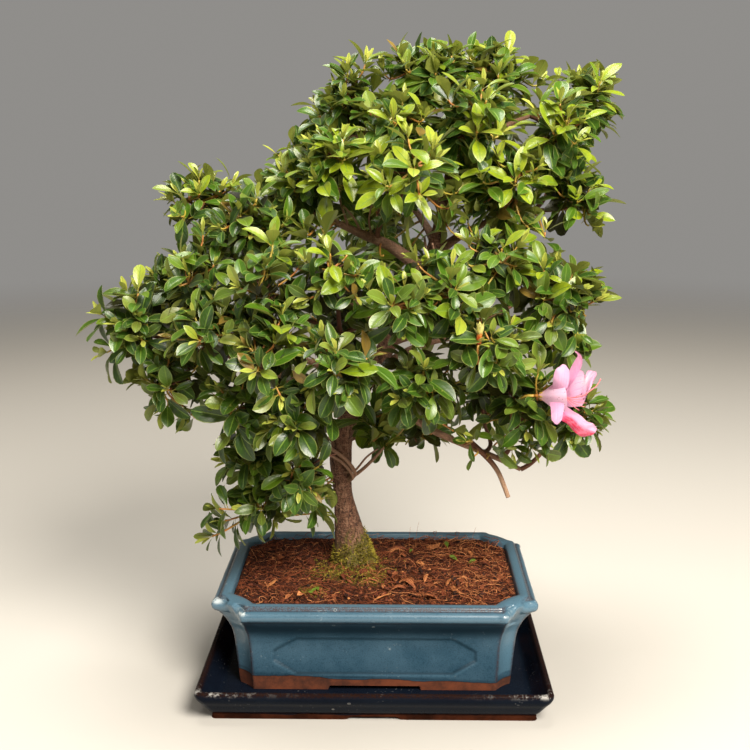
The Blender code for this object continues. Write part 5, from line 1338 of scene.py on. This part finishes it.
leaf = leaf_finish()
wood_points = np.vstack([line[len(line) // 4:] for line in wood_lines.values()])
wood_headings = np.vstack([np.gradient(line, axis=0)[len(line) // 4:] for line in wood_lines.values()])
wood_headings /= np.linalg.norm(wood_headings, axis=1)[:, None]
spray_names = sorted(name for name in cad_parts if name.startswith("spray_"))
middles = np.array([np.mean(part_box(name), axis=0) for name in spray_names])
links = [[] for _ in spray_names]
for spot in np.array(LINK_SHOOTS) * MILLIMETRE:
    links[int(np.argmin(np.linalg.norm(middles - spot, axis=1)))].append(spot)
for spray_index, name in enumerate(spray_names):
    chance = random.Random(100 + spray_index)
    low, high = (np.array(corner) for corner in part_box(name))
    right, up, share = HELD_IN.get(name, (0, 0, 1.0))
    middle = (low + high) / 2 + np.array((right, 0, up)) * MILLIMETRE
    half = (high - low) / 2 * share * SPRAY_SHARE
    outward = unit((middle - CROWN_HEART) * (1, 1, CROWN_FLATTEN))
    fall = np.maximum(0.0, wood_points[:, 2] - middle[2] + 0.004)
    gaps = np.linalg.norm(wood_points - middle, axis=1) + 0.6 * fall
    nearest = int(np.argmin(gaps))
    start = wood_points[nearest]
    heart = middle - outward * half * 0.25 - (0, 0, half[2] * 0.15)
    leaving = unit(wood_headings[nearest] * 0.6 + unit(heart - start))
    stem = bend(start, leaving, heart + outward * half * 0.45, unit(outward + (0, 0, 0.5)), 18)
    shapes = []
    rings, faces = tube(stem, np.linspace(0.0021, 0.0012, len(stem)), TWIG_SIDES)
    shapes.append((rings.reshape(-1, 3), faces, {"age": np.repeat(np.linspace(0.6, 0.3, len(stem)), TWIG_SIDES), "pale": 0.0}))
    count = ROSETTES[sum(half[0] > size for size in LARGE_SPRAYS)]
    spots = [(spot, unit(spot - middle)) for spot in links[spray_index]]
    count += len(spots)
    low_hanging = name.startswith("spray_low")
    while len(spots) < count:
        best, best_gap = None, -1.0
        for _ in range(12):
            way = unit(np.array([chance.gauss(0, 1) for _ in range(3)]))
            if way.dot(unit(outward + (0, -0.25, 0.45))) < -0.35:
                continue
            outer = way.dot(outward) > 0.1 or low_hanging
            reach = chance.uniform(0.50, 0.88) if outer else chance.uniform(0.70, 1.22)
            spot = middle + way * half * reach
            gap = min((np.linalg.norm(spot - other) for other, _ in spots), default=1.0)
            if gap > best_gap:
                best, best_gap = (spot, way), gap
        spots.append(best)
    grown, small = [], []
    for spot, way in spots:
        spot[2] = min(spot[2], CROWN_PEAK)
        high = min(1.0, max(0.0, (spot[2] - 0.40) / 0.10))
        axis = unit(way + outward * 0.35 + np.array((0, -0.12, 0.50 + 0.85 * high)))
        along = np.linalg.norm(stem - spot, axis=1) - np.linspace(0, 0.010, len(stem))
        at = int(np.argmin(along[5:])) + 5
        to_wood = np.linalg.norm(wood_points - spot, axis=1)
        beside = int(np.argmin(to_wood))
        if to_wood[beside] < 0.8 * np.linalg.norm(stem[at] - spot):
            root, leave = wood_points[beside], unit(wood_headings[beside] * 0.5 + unit(spot - wood_points[beside]))
        else:
            root, leave = stem[at], unit(stem[min(at + 1, len(stem) - 1)] - stem[at - 1] + 0.004 * way)
        shoot = bend(root, leave, spot, axis, 9)
        reach = np.linalg.norm(spot - root)
        rings, faces = tube(shoot, np.linspace(0.0009 + 0.007 * reach, 0.0007, len(shoot)), SHOOT_SIDES)
        ages = np.repeat(np.linspace(min(0.5, 0.14 + 3 * reach), 0.0, len(shoot)), SHOOT_SIDES)
        shapes.append((rings.reshape(-1, 3), faces, {"age": ages, "pale": 0.0}))
        # Painted light: each rosette's tone is raised higher up, towards the front, on the right, in the brightest part
        # and where it faces the key light, and lowered on the left and at the very top
        bright = [(spot[axis] - BRIGHT_PART[0][place]) / BRIGHT_PART[1][place] for place, axis in enumerate((0, 2))]
        light = 0.17 + 0.46 * min(1.0, max(0.0, (spot[2] - 0.32) / 0.12)) + 0.08 * (spot[1] < -0.07)
        light += 0.30 * math.exp(-bright[0] ** 2 - bright[1] ** 2) - 0.16 * (spot[0] < -0.07)
        light += 0.14 * way.dot(LIT_WAY) + 0.14 * (spot[0] > 0.08) - 0.22 * (spot[2] > 0.475)
        open_leaves, young_leaves = rosette(
            chance, spot, axis, chance.uniform(0.96, 1.16), chance.choice((1, 2, 3, 3)), light
        )
        grown += open_leaves
        small += young_leaves
        turn = chance.uniform(0, math.tau)
        for place_index, back_by in enumerate((2, 4)):
            base = shoot[-1 - back_by]
            ahead = unit(shoot[-back_by] - base)
            radial = unit(np.cross(ahead, (math.sin(turn + place_index * 2.2), math.cos(turn + place_index * 2.2), 0.3)))
            heading = unit(ahead * 0.35 + radial)
            length = chance.uniform(0.016, 0.026)
            grown.append((
                base, heading, unit(np.array((0.1, -0.3, 1.0)) + 0.4 * ahead), length, length * chance.uniform(0.36, 0.48),
                chance.uniform(0.1, 0.6), chance.uniform(0.4, 0.7), chance.gauss(0, 0.05),
                min(0.98, max(0.10, chance.gauss(0.26, 0.2))), 0.0,
            ))
    # Inner shoots: leaves in the crown's heart whose low tone is painted near-black as shade, so no gap shows through;
    # a little less dark at the top
    for index in range(INNER_SHOOTS[int(middle[2] > CROWN_TOP)]):
        way = unit(np.array([chance.gauss(0, 1) for _ in range(3)]))
        spot = middle + way * half * chance.uniform(0.2, 0.85) - outward * half * chance.uniform(0.1, 0.9)
        base = stem[int(np.argmin(np.linalg.norm(stem - spot, axis=1)))]
        shoot = bend(base, unit(spot - base), spot, way, 5)
        rings, faces = tube(shoot, np.linspace(0.0010, 0.0008, 5), 3)
        shapes.append((rings.reshape(-1, 3), faces, {"age": 0.4, "pale": 0.0}))
        for place_index in range(5):
            length = chance.uniform(0.020, 0.028)
            small.append((
                spot - way * 0.002 * place_index, unit(np.array([chance.gauss(0, 1) for _ in range(3)]) + 0.4 * way),
                unit(np.array((chance.gauss(0, 0.5), chance.gauss(0, 0.5) - 0.3, 0.8))), length,
                length * chance.uniform(0.42, 0.55), chance.uniform(0.0, 0.7), chance.uniform(0.4, 0.6), 0.0,
                chance.uniform(0.0, 0.12) + 0.16 * (middle[2] > CROWN_TOP), 0.0,
            ))
    grown = [row for row, hidden in zip(grown, hiding(grown)) if not hidden]
    small = [row for row, hidden in zip(small, hiding(small)) if not hidden]
    points, faces, masks = gather([leaf_blades(grown), leaf_blades(small, True)])
    spray = mesh_of(name + "_leaves", points, faces, leaf, **masks)
    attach(spray, "root")
    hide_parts(name)
    points, faces, masks = gather(shapes)
    twigs = mesh_of(name + "_twigs", points, faces, bark, **masks)
    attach(twigs, "root")
    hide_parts("trunk")


# Green bits on the soil: seedling leaves that stand up in ones and twos, and a fallen leaf
bits = []
for x, y, lift, length, turn in GREEN_BITS:
    way = math.radians(turn)
    bits.append((
        np.array((x, y, ground(x, y) + lift - 0.002)), unit(np.array((math.cos(way), math.sin(way), 0.55))),
        np.array((0.0, -0.4, 0.9)), length, length * 0.45, 0.4, 0.5, 0.0, 0.5, 0.15,
    ))
points, faces, masks = leaf_blades(bits, True)
seedlings = mesh_of("soil_green_bits", points, faces, leaf, **masks)
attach(seedlings, "root")
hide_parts("soil")


# Flower: one open bloom at a shoot's end. Its pink corolla is a single funnel that splits into five unlike
# lobes, on an orange stalk, with a small calyx, long stamens and a style that curves past them.
FLOWER_SEAT = np.array((0.126, -0.078, 0.263))
FLOWER_AXIS = np.array((0.935, -0.352, 0.042))
# The bloom's own directions: to the right, up the plant's face and towards its front
FLOWER_WAYS = np.array(((1.0, 0.0, 0.0), (0.0, 0.204, 0.979), (-0.10, -0.974, 0.203)))
FUNNEL = (
    (0.0040, 0.0020), (0.0070, 0.0034), (0.0100, 0.0055), (0.0130, 0.0078), (0.0160, 0.0096), (0.0195, 0.0109),
    (0.0225, 0.0117),
)
FUNNEL_SIDES = 60
# How much further the funnel reaches on its near side
NEAR_REACH = 0.0062
# Each lobe: its two edges from throat to tip, as right, up and front in millimetres; then how far its middle
# stands forward, its ruffle, and how pale and how deep its pink is
LOBES = {
    "upper_front": (
        ((14.2, 5.0, 11.4), (14.2, 9.6, 16), (14.4, 14.2, 18.5), (15.8, 19.8, 19.5), (19.6, 23.4, 18.5)),
        ((25.0, 6.0, 16.4), (26.2, 9.8, 17), (26.8, 14.6, 17), (26.6, 20.0, 16.5), (24.4, 23.6, 17)),
        2.4, 0.9, 0.75, 0.0,
    ),
    "upper": (
        ((22.0, 8.8, 9.0), (26.2, 12.4, 10), (27.6, 20.5, 11), (31.0, 27.2, 12), (33.4, 31.6, 14), (30.8, 34.4, 17)),
        ((26.0, 5.2, -0.6), (31.0, 12.0, 5), (35.6, 20.2, 7), (37.4, 26.6, 9), (36.0, 32.0, 12), (31.0, 35.1, 17)),
        -1.4, 0.6, 0.40, 0.12,
    ),
    "far": (
        ((25.4, 6.0, -0.4), (28.4, 13.6, 2.5), (31.4, 18.2, 3), (35.4, 19.9, 3), (38.4, 18.9, 3.4), (39.8, 16.4, 4),
         (41.6, 19.1, 3.6), (44.8, 20.3, 3.6), (47.4, 19.2, 4)),
        ((25.0, -8.2, -1.4), (28.6, -8.6, 3), (32.4, -8.4, 6), (36.6, -7.8, 8), (39.2, -3.4, 9), (41.0, 1.2, 9),
         (43.4, 5.6, 9), (45.6, 10.4, 8), (48.4, 15.2, 6.5)),
        -2.2, 2.6, 0.70, 0.10,
    ),
    "low_front": (
        ((11.8, -4.6, 10.8), (12.6, -9.8, 15), (12.8, -14.2, 17.5), (13.2, -18.2, 18.8), (15.2, -20.8, 19)),
        ((23.0, -4.4, 18.4), (22.4, -9.6, 18.5), (21.8, -14.2, 18.5), (20.8, -18.4, 18.5), (18.2, -21.2, 18.8)),
        1.4, 0.8, 0.65, 0.0,
    ),
    "low_far": (
        ((24.4, -7.0, 2.6), (28.4, -10.6, 9), (33.6, -13.6, 13), (39.4, -18.4, 16), (44.6, -21.2, 17), (48.0, -24.2, 17)),
        ((19.4, -13.2, 8), (20.6, -18.2, 12), (25.4, -21.6, 14), (30.2, -26.8, 16), (34.6, -30.6, 17), (41.0, -30.4, 18)),
        2.6, 2.2, 0.40, 0.60,
    ),
}
LOBE_GRID = (34, 23)
STALK_ROUTE = ((0.0, 0.0011), (0.0020, 0.0012), (0.0040, 0.0020), (0.0058, 0.0022))
# Ends of the stamens and the style's own way, as right, up and front in millimetres
STAMENS = ((37.6, -2.0, 18), (39.4, -5.2, 17), (38.8, -8.4, 17), (34.2, -10.8, 18), (36.0, 1.6, 16), (40.6, 1.2, 15))
STYLE = ((21, -1, 12), (31, -1.0, 15), (38, 1.0, 16), (43.4, 4.6, 16), (47.8, 8.2, 16), (50.9, 13.4, 16))
PETAL_PINK = (0.780, 0.235, 0.510, 1.0)
PETAL_PALE = (0.800, 0.500, 0.690, 1.0)
PETAL_WHITE = (0.860, 0.720, 0.830, 1.0)
PETAL_DEEP = (0.620, 0.028, 0.080, 1.0)
PETAL_BASE = (0.830, 0.480, 0.330, 1.0)
FILAMENT = (0.640, 0.180, 0.200, 1.0)
ANTHER = (0.110, 0.020, 0.030, 1.0)

flower_up = unit(np.array((0.0, 0.0, 1.0)) - FLOWER_AXIS * FLOWER_AXIS[2])
flower_front = np.cross(FLOWER_AXIS, flower_up)


def in_bloom(spots):
    """Places given in the bloom's own directions, in millimetres, as places in the frame."""
    return FLOWER_SEAT + np.asarray(spots, float) @ FLOWER_WAYS * MILLIMETRE


def petal_sheet(name, first, second, bulge, ruffle, pale, deep):
    """One lobe between its two edges, bowed and ruffled."""
    rows, columns = LOBE_GRID
    steps = np.linspace(0, 1, rows)
    edges = []
    for edge in (first, second):
        fine = smooth_rows(edge, 12)
        edges.append(np.column_stack([np.interp(steps, np.linspace(0, 1, len(fine)), fine[:, axis]) for axis in range(3)]))
    along = steps[:, None]
    across = np.linspace(-1, 1, columns)[None]
    share = (across[..., None] + 1) / 2
    points = edges[0][:, None] * (1 - share) + edges[1][:, None] * share
    centre = (points[-1, 0] + points[-1, -1]) / 2
    heading = centre - (points[0, 0] + points[0, -1]) / 2
    heading = heading / np.linalg.norm(heading)
    width = np.linalg.norm(edges[1] - edges[0], axis=1)[:, None]
    rounded = 0.22 * width * (1 - across ** 2) * np.clip((along - 0.82) / 0.18, 0, 1) ** 1.6
    points = points + heading * rounded[..., None]
    bow = bulge * (1 - across ** 2) * np.sin(np.clip(along * 0.9 + 0.1, 0, 1) * math.pi) ** 0.7
    ripple = ruffle * 0.45 * np.sin(along * 19 + across * 4 + bulge) * np.abs(across) ** 1.5 * along
    crease = -0.35 * np.exp(-(across / 0.10) ** 2) * along
    points[..., 2] += bow + ripple + crease
    points[..., 1] += 0.6 * ripple
    corner = (np.arange(rows - 1)[:, None] * columns + np.arange(columns - 1)[None]).ravel()
    quads = np.stack([corner, corner + columns, corner + columns + 1, corner + 1], axis=1)
    # Painted light and shade on the lower far lobe: one half deep pink as its shadow, the other half paler as if facing
    # up to the light
    if name == "low_far":
        deep = deep * 0.4 + 0.85 * np.clip((across + 0.15) / 0.30, 0, 1) * np.clip(along * 3, 0, 1)
        pale = pale + 0.40 * np.clip(-across / 0.5, 0, 1)
    white = np.exp(-((along - 0.62) / 0.26) ** 2 - ((across + 0.35) / 0.45) ** 2) if name == "far" else 0.0
    masks = {"across": across, "along": along, "pale": pale, "deep": deep, "white": white, "warm": 0.0}
    shape = (rows, columns)
    return in_bloom(points.reshape(-1, 3)), [quads], {
        mask: np.broadcast_to(value, shape).ravel() for mask, value in masks.items()
    }


petal_finish, tree, shader = new_finish("petal", Roughness=0.5, Sheen_Weight=0.1)
across, along, pale, deep, white, warm = (
    add(tree, "Attribute", attribute_name=mask).outputs["Fac"]
    for mask in ("across", "along", "pale", "deep", "white", "warm")
)
place = add(tree, "TexCoord").outputs["Object"]
veil = speckle(tree, place, 260.0, 3.0, 0.6)
colour = blend_colours(tree, pale, PETAL_PINK, PETAL_PALE)
colour = blend_colours(tree, maths(tree, "MULTIPLY", white, 0.9), colour, PETAL_WHITE)
colour = blend_colours(tree, deep, colour, PETAL_DEEP)
streaks = maths(tree, "ABSOLUTE", maths(tree, "SINE", maths(tree, "MULTIPLY", across, 9.0)))
streaks = maths(tree, "MULTIPLY", between(tree, streaks, 0.35, 0.0), between(tree, along, 0.95, 0.35, 0.05, 0.50))
colour = blend_colours(tree, streaks, colour, PETAL_PINK)
throat = between(tree, along, 0.34, 0.02, 0.0, 0.70)
throat = maths(tree, "MULTIPLY", throat, maths(tree, "SUBTRACT", 1.0, pale))
colour = blend_colours(tree, throat, colour, PETAL_PINK)
colour = blend_colours(tree, warm, colour, PETAL_BASE)
spots = add(tree, "TexVoronoi", {"Vector": place, "Scale": 420.0}, feature="F1").outputs["Distance"]
spots = maths(tree, "MULTIPLY", between(tree, spots, 0.20, 0.12), between(tree, white, 0.35, 0.60))
spots = maths(tree, "MULTIPLY", spots, between(tree, along, 0.55, 0.45))
colour = blend_colours(tree, spots, colour, ANTHER)
colour = blend_colours(tree, between(tree, veil, 0.40, 0.62, 0.0, 0.22), colour, PETAL_PALE)
fine = speckle(tree, place, 1400.0, 2.0, 0.6)
bump = add(tree, "Bump", {"Height": maths(tree, "SUBTRACT", fine, streaks), "Strength": 0.5, "Distance": 0.0004})
link_finish(tree, shader, Base_Color=colour, Normal=bump.outputs["Normal"])
through = add(tree, "BsdfTranslucent", {"Color": colour, "Normal": bump.outputs["Normal"]})
both = add(tree, "MixShader", {0: 0.42, 1: shader.outputs[0], 2: through.outputs[0]})
tree.links.new(both.outputs[0], tree.nodes["Material Output"].inputs["Surface"])
shapes = [petal_sheet(name, *lobe) for name, lobe in LOBES.items()]
funnel = smooth_rows([(height, radius, 0.0) for height, radius in FUNNEL], 4)
sweep = np.arange(FUNNEL_SIDES) * math.tau / FUNNEL_SIDES
ring = np.cos(sweep)[:, None] * flower_up + np.sin(sweep)[:, None] * flower_front
pleat = 1 + 0.05 * np.cos(5 * sweep)[None, :, None]
rings = FLOWER_SEAT + FLOWER_AXIS * funnel[:, :1, None] + ring[None] * (funnel[:, 1, None, None] * pleat)
outward_share = np.linspace(0, 1, len(funnel))
near = np.clip(np.sin(sweep), 0, 1)[None] * outward_share[:, None] ** 2
rings += FLOWER_AXIS * (NEAR_REACH * near)[..., None]
# Partly painted light: the funnel's own pale pink is made paler and whiter still to make up for the shade it lies in
masks = {
    "across": np.tile(np.cos(5 * sweep) * 0.6, len(funnel)), "along": np.repeat(0.6 - 0.3 * outward_share, FUNNEL_SIDES),
    "pale": 0.9, "deep": 0.0, "white": 0.50,
    "warm": np.repeat(np.clip(0.8 - 2.2 * outward_share, 0, 1), FUNNEL_SIDES),
}
shapes.append((rings.reshape(-1, 3), skin(rings), masks))
points, faces, masks = gather(shapes)
corolla = mesh_of("flower_corolla", points, faces, petal_finish, **masks)
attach(corolla, "root")
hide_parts("flower")

shapes = []
for spot in STAMENS:
    spot = np.array(spot, float)
    middle = np.array((24.0, -1.0, 13.0)) * 0.5 + spot * 0.5 + (0, -1.2, 1.0)
    route = smooth_rows(in_bloom([(17.0, 0.0, 10.0), (23.0, -1.0, 13.0), middle, spot]), 5)
    rings, faces = tube(route, 0.00027, 5)
    shapes.append((rings.reshape(-1, 3), faces, {"tone": 0.3}))
    lean = unit(np.array((0.3, -0.4, 0.5)) + 0.02 * spot)
    tip = np.array([route[-1] + lean * shift for shift in (-0.0009, -0.0005, 0.0, 0.0005, 0.0009)])
    rings, faces = tube(tip, (0.0002, 0.00045, 0.0005, 0.00045, 0.0002), 6)
    shapes.append((rings.reshape(-1, 3), faces, {"tone": 1.0}))
route = smooth_rows(in_bloom(STYLE), 6)
rings, faces = tube(route, np.append(np.full(len(route) - 2, 0.00042), (0.00065, 0.00045)), 6)
shapes.append((rings.reshape(-1, 3), faces, {"tone": 0.15}))
points, faces, masks = gather(shapes)
stamen_finish = litter_finish("stamen", (FILAMENT, FILAMENT, ANTHER), 0.5)
stamens = mesh_of("flower_stamens", points, faces, stamen_finish, **masks)
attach(stamens, "root")
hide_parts("flower")


def twig_to(seat, axis, radii, ages):
    """A twig from the nearest wood below, arriving along the stalk's own line."""
    gaps = np.linalg.norm(wood_points - seat, axis=1) + np.maximum(0.0, wood_points[:, 2] - seat[2]) * 1.2
    nearest = int(np.argmin(gaps))
    route = bend(wood_points[nearest], unit(wood_headings[nearest] * 0.6 + unit(seat - wood_points[nearest])),
                 seat, axis, 22, 0.42)
    rings, faces = tube(route, np.linspace(*radii, len(route)), TWIG_SIDES)
    return rings.reshape(-1, 3), faces, {"age": np.repeat(np.linspace(*ages, len(route)), TWIG_SIDES), "pale": 0.0}


shapes = [twig_to(FLOWER_SEAT, FLOWER_AXIS, (0.0020, 0.0012), (0.6, 0.1))]
rings, faces = tube([FLOWER_SEAT + FLOWER_AXIS * height for height, _ in STALK_ROUTE], [r for _, r in STALK_ROUTE], 10)
shapes.append((rings.reshape(-1, 3), faces, {"age": 0.0, "pale": 0.0}))
for index in range(5):
    angle = math.tau * index / 5 + 0.3
    out = math.cos(angle) * flower_up + math.sin(angle) * flower_front
    base = FLOWER_SEAT + FLOWER_AXIS * 0.0044 + out * 0.0019
    route = [base, base + FLOWER_AXIS * 0.002 + out * 0.0010, base + FLOWER_AXIS * 0.0042 + out * 0.0014]
    rings, faces = tube(route, (0.0011, 0.0009, 0.0002), 6)
    shapes.append((rings.reshape(-1, 3), faces, {"age": 0.02, "pale": 0.0}))
points, faces, masks = gather(shapes)
stalk = mesh_of("flower_stalk", points, faces, bark, **masks)
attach(stalk, "root")
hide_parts("flower")


# Flower bud: fat, orange-red and glossy at the base, wrapped in overlapping scales that open into
# yellow-green tips at the top. It sits at the end of its own green shoot.
BUD_SEAT = np.array((0.078, -0.126, 0.3125))
BUD_AXIS = np.array((0.0990, -0.0990, 0.9901))
# Each whorl of scales: how many, start and end along the axis, half-width, distance outside the bud's body
BUD_WHORLS = (
    (4, 0.0010, 0.0090, 0.0021, 0.0003), (4, 0.0026, 0.0104, 0.0019, 0.0002),
    (5, 0.0078, 0.0156, 0.0018, 0.0002), (5, 0.0084, 0.0167, 0.0017, -0.0004),
)
# The bud's body: height, radius
BUD_BODY = (
    (0.0, 0.0013), (0.0018, 0.0018), (0.0045, 0.0020), (0.0080, 0.0018), (0.0104, 0.0022), (0.0130, 0.0028),
    (0.0174, 0.0031),
)
# Scales that stand off the bud: turn in degrees, start, length
LOOSE_SCALES = ((52, 0.0078, 0.0080), (128, 0.0030, 0.0066))
# Small leaves round the bud's foot
BUD_LEAVES = 6
BUD_RED = (0.270, 0.040, 0.006, 1.0)
BUD_ORANGE = (0.400, 0.130, 0.022, 1.0)
BUD_TIP = (0.480, 0.450, 0.150, 1.0)
SCALE_GRID = (10, 7)

bud_first = unit(np.cross(BUD_AXIS, (0.2, 1.0, 0.1)))
bud_second = np.cross(BUD_AXIS, bud_first)
shapes = []
body = np.array(BUD_BODY)
for whorl, (count, low, high, width, proud) in enumerate(BUD_WHORLS):
    for index in range(count):
        turn = math.tau * (index + 0.37 * whorl) / count
        out = math.cos(turn) * bud_first + math.sin(turn) * bud_second
        beside = math.cos(turn) * bud_second - math.sin(turn) * bud_first
        rows, columns = SCALE_GRID
        v = np.linspace(0, 1, rows)[:, None]
        u = np.linspace(-1, 1, columns)[None]
        height = low + (high - low) * v * (1 + 0.06 * math.sin(whorl * 3 + index * 2))
        bulge = np.interp(height, body[:, 0], body[:, 1]) + proud + 0.0008 * np.clip(v - 0.8, 0, 1)
        half = width * np.sin((0.22 + 0.78 * v) * math.pi) ** 0.7
        angle = u * np.clip(half / np.maximum(bulge, 0.0012), 0, 1.25)
        point = BUD_SEAT + BUD_AXIS * height[..., None] + 0 * u[..., None]
        point = point + (out * np.cos(angle)[..., None] + beside * np.sin(angle)[..., None]) * bulge[..., None]
        corner = (np.arange(rows - 1)[:, None] * columns + np.arange(columns - 1)[None]).ravel()
        quads = np.stack([corner, corner + 1, corner + columns + 1, corner + columns], axis=1)
        tone = np.clip((height - 0.0058) / 0.0050, 0, 1) + 0.25 * np.abs(u)
        shapes.append((point.reshape(-1, 3), [quads], {"tone": tone.ravel()}))
for turn, low, length in LOOSE_SCALES:
    out = math.cos(math.radians(turn)) * bud_first + math.sin(math.radians(turn)) * bud_second
    beside = np.cross(BUD_AXIS, out)
    rows, columns = SCALE_GRID
    v = np.linspace(0, 1, rows)[:, None]
    u = np.linspace(-1, 1, columns)[None]
    half = 0.0020 * np.sin((0.25 + 0.75 * v) * math.pi) ** 0.8
    point = BUD_SEAT + BUD_AXIS * (low + length * 0.75 * v)[..., None] + beside * (u * half)[..., None]
    point = point + out * (0.0018 + length * 0.75 * v ** 1.3 - 0.0004 * u ** 2)[..., None]
    tone = np.clip(0.7 + 0.5 * v + 0 * u, 0, 1)
    shapes.append((point.reshape(-1, 3), [quads], {"tone": tone.ravel()}))
core = [BUD_SEAT + BUD_AXIS * height for height in (0.0, 0.002, 0.005, 0.009, 0.012)]
rings, faces = tube(core, (0.0013, 0.0019, 0.0021, 0.0017, 0.0008), 10)
shapes.append((rings.reshape(-1, 3), faces, {"tone": np.repeat((0.0, 0.0, 0.1, 0.7, 1.0), 10)}))
points, faces, masks = gather(shapes)
bud_finish = litter_finish("bud_scale", (BUD_RED, BUD_ORANGE, BUD_TIP), 0.28)
bud = mesh_of("flower_bud_scales", points, faces, bud_finish, **masks)
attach(bud, "root")
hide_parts("flower_bud")
chance = random.Random(12)
small = []
for index in range(BUD_LEAVES):
    angle = index * GOLDEN_ANGLE
    radial = math.cos(angle) * bud_first + math.sin(angle) * bud_second
    length = chance.uniform(0.008, 0.014)
    small.append((
        BUD_SEAT - BUD_AXIS * 0.001, unit(radial + 0.25 * BUD_AXIS), unit(BUD_AXIS + 0.2 * radial), length,
        length * 0.38, 0.3, 0.5, 0.0, 0.7, chance.uniform(0.2, 0.8),
    ))
points, faces, masks = leaf_blades(small)
bud_leaves = mesh_of("flower_bud_leaves", points, faces, leaf, **masks)
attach(bud_leaves, "root")
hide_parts("flower_bud")
points, faces, masks = gather([twig_to(BUD_SEAT, BUD_AXIS, (0.0017, 0.0010), (0.6, 0.0))])
bud_twig = mesh_of("flower_bud_twig", points, faces, bark, **masks)
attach(bud_twig, "root")
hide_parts("trunk")
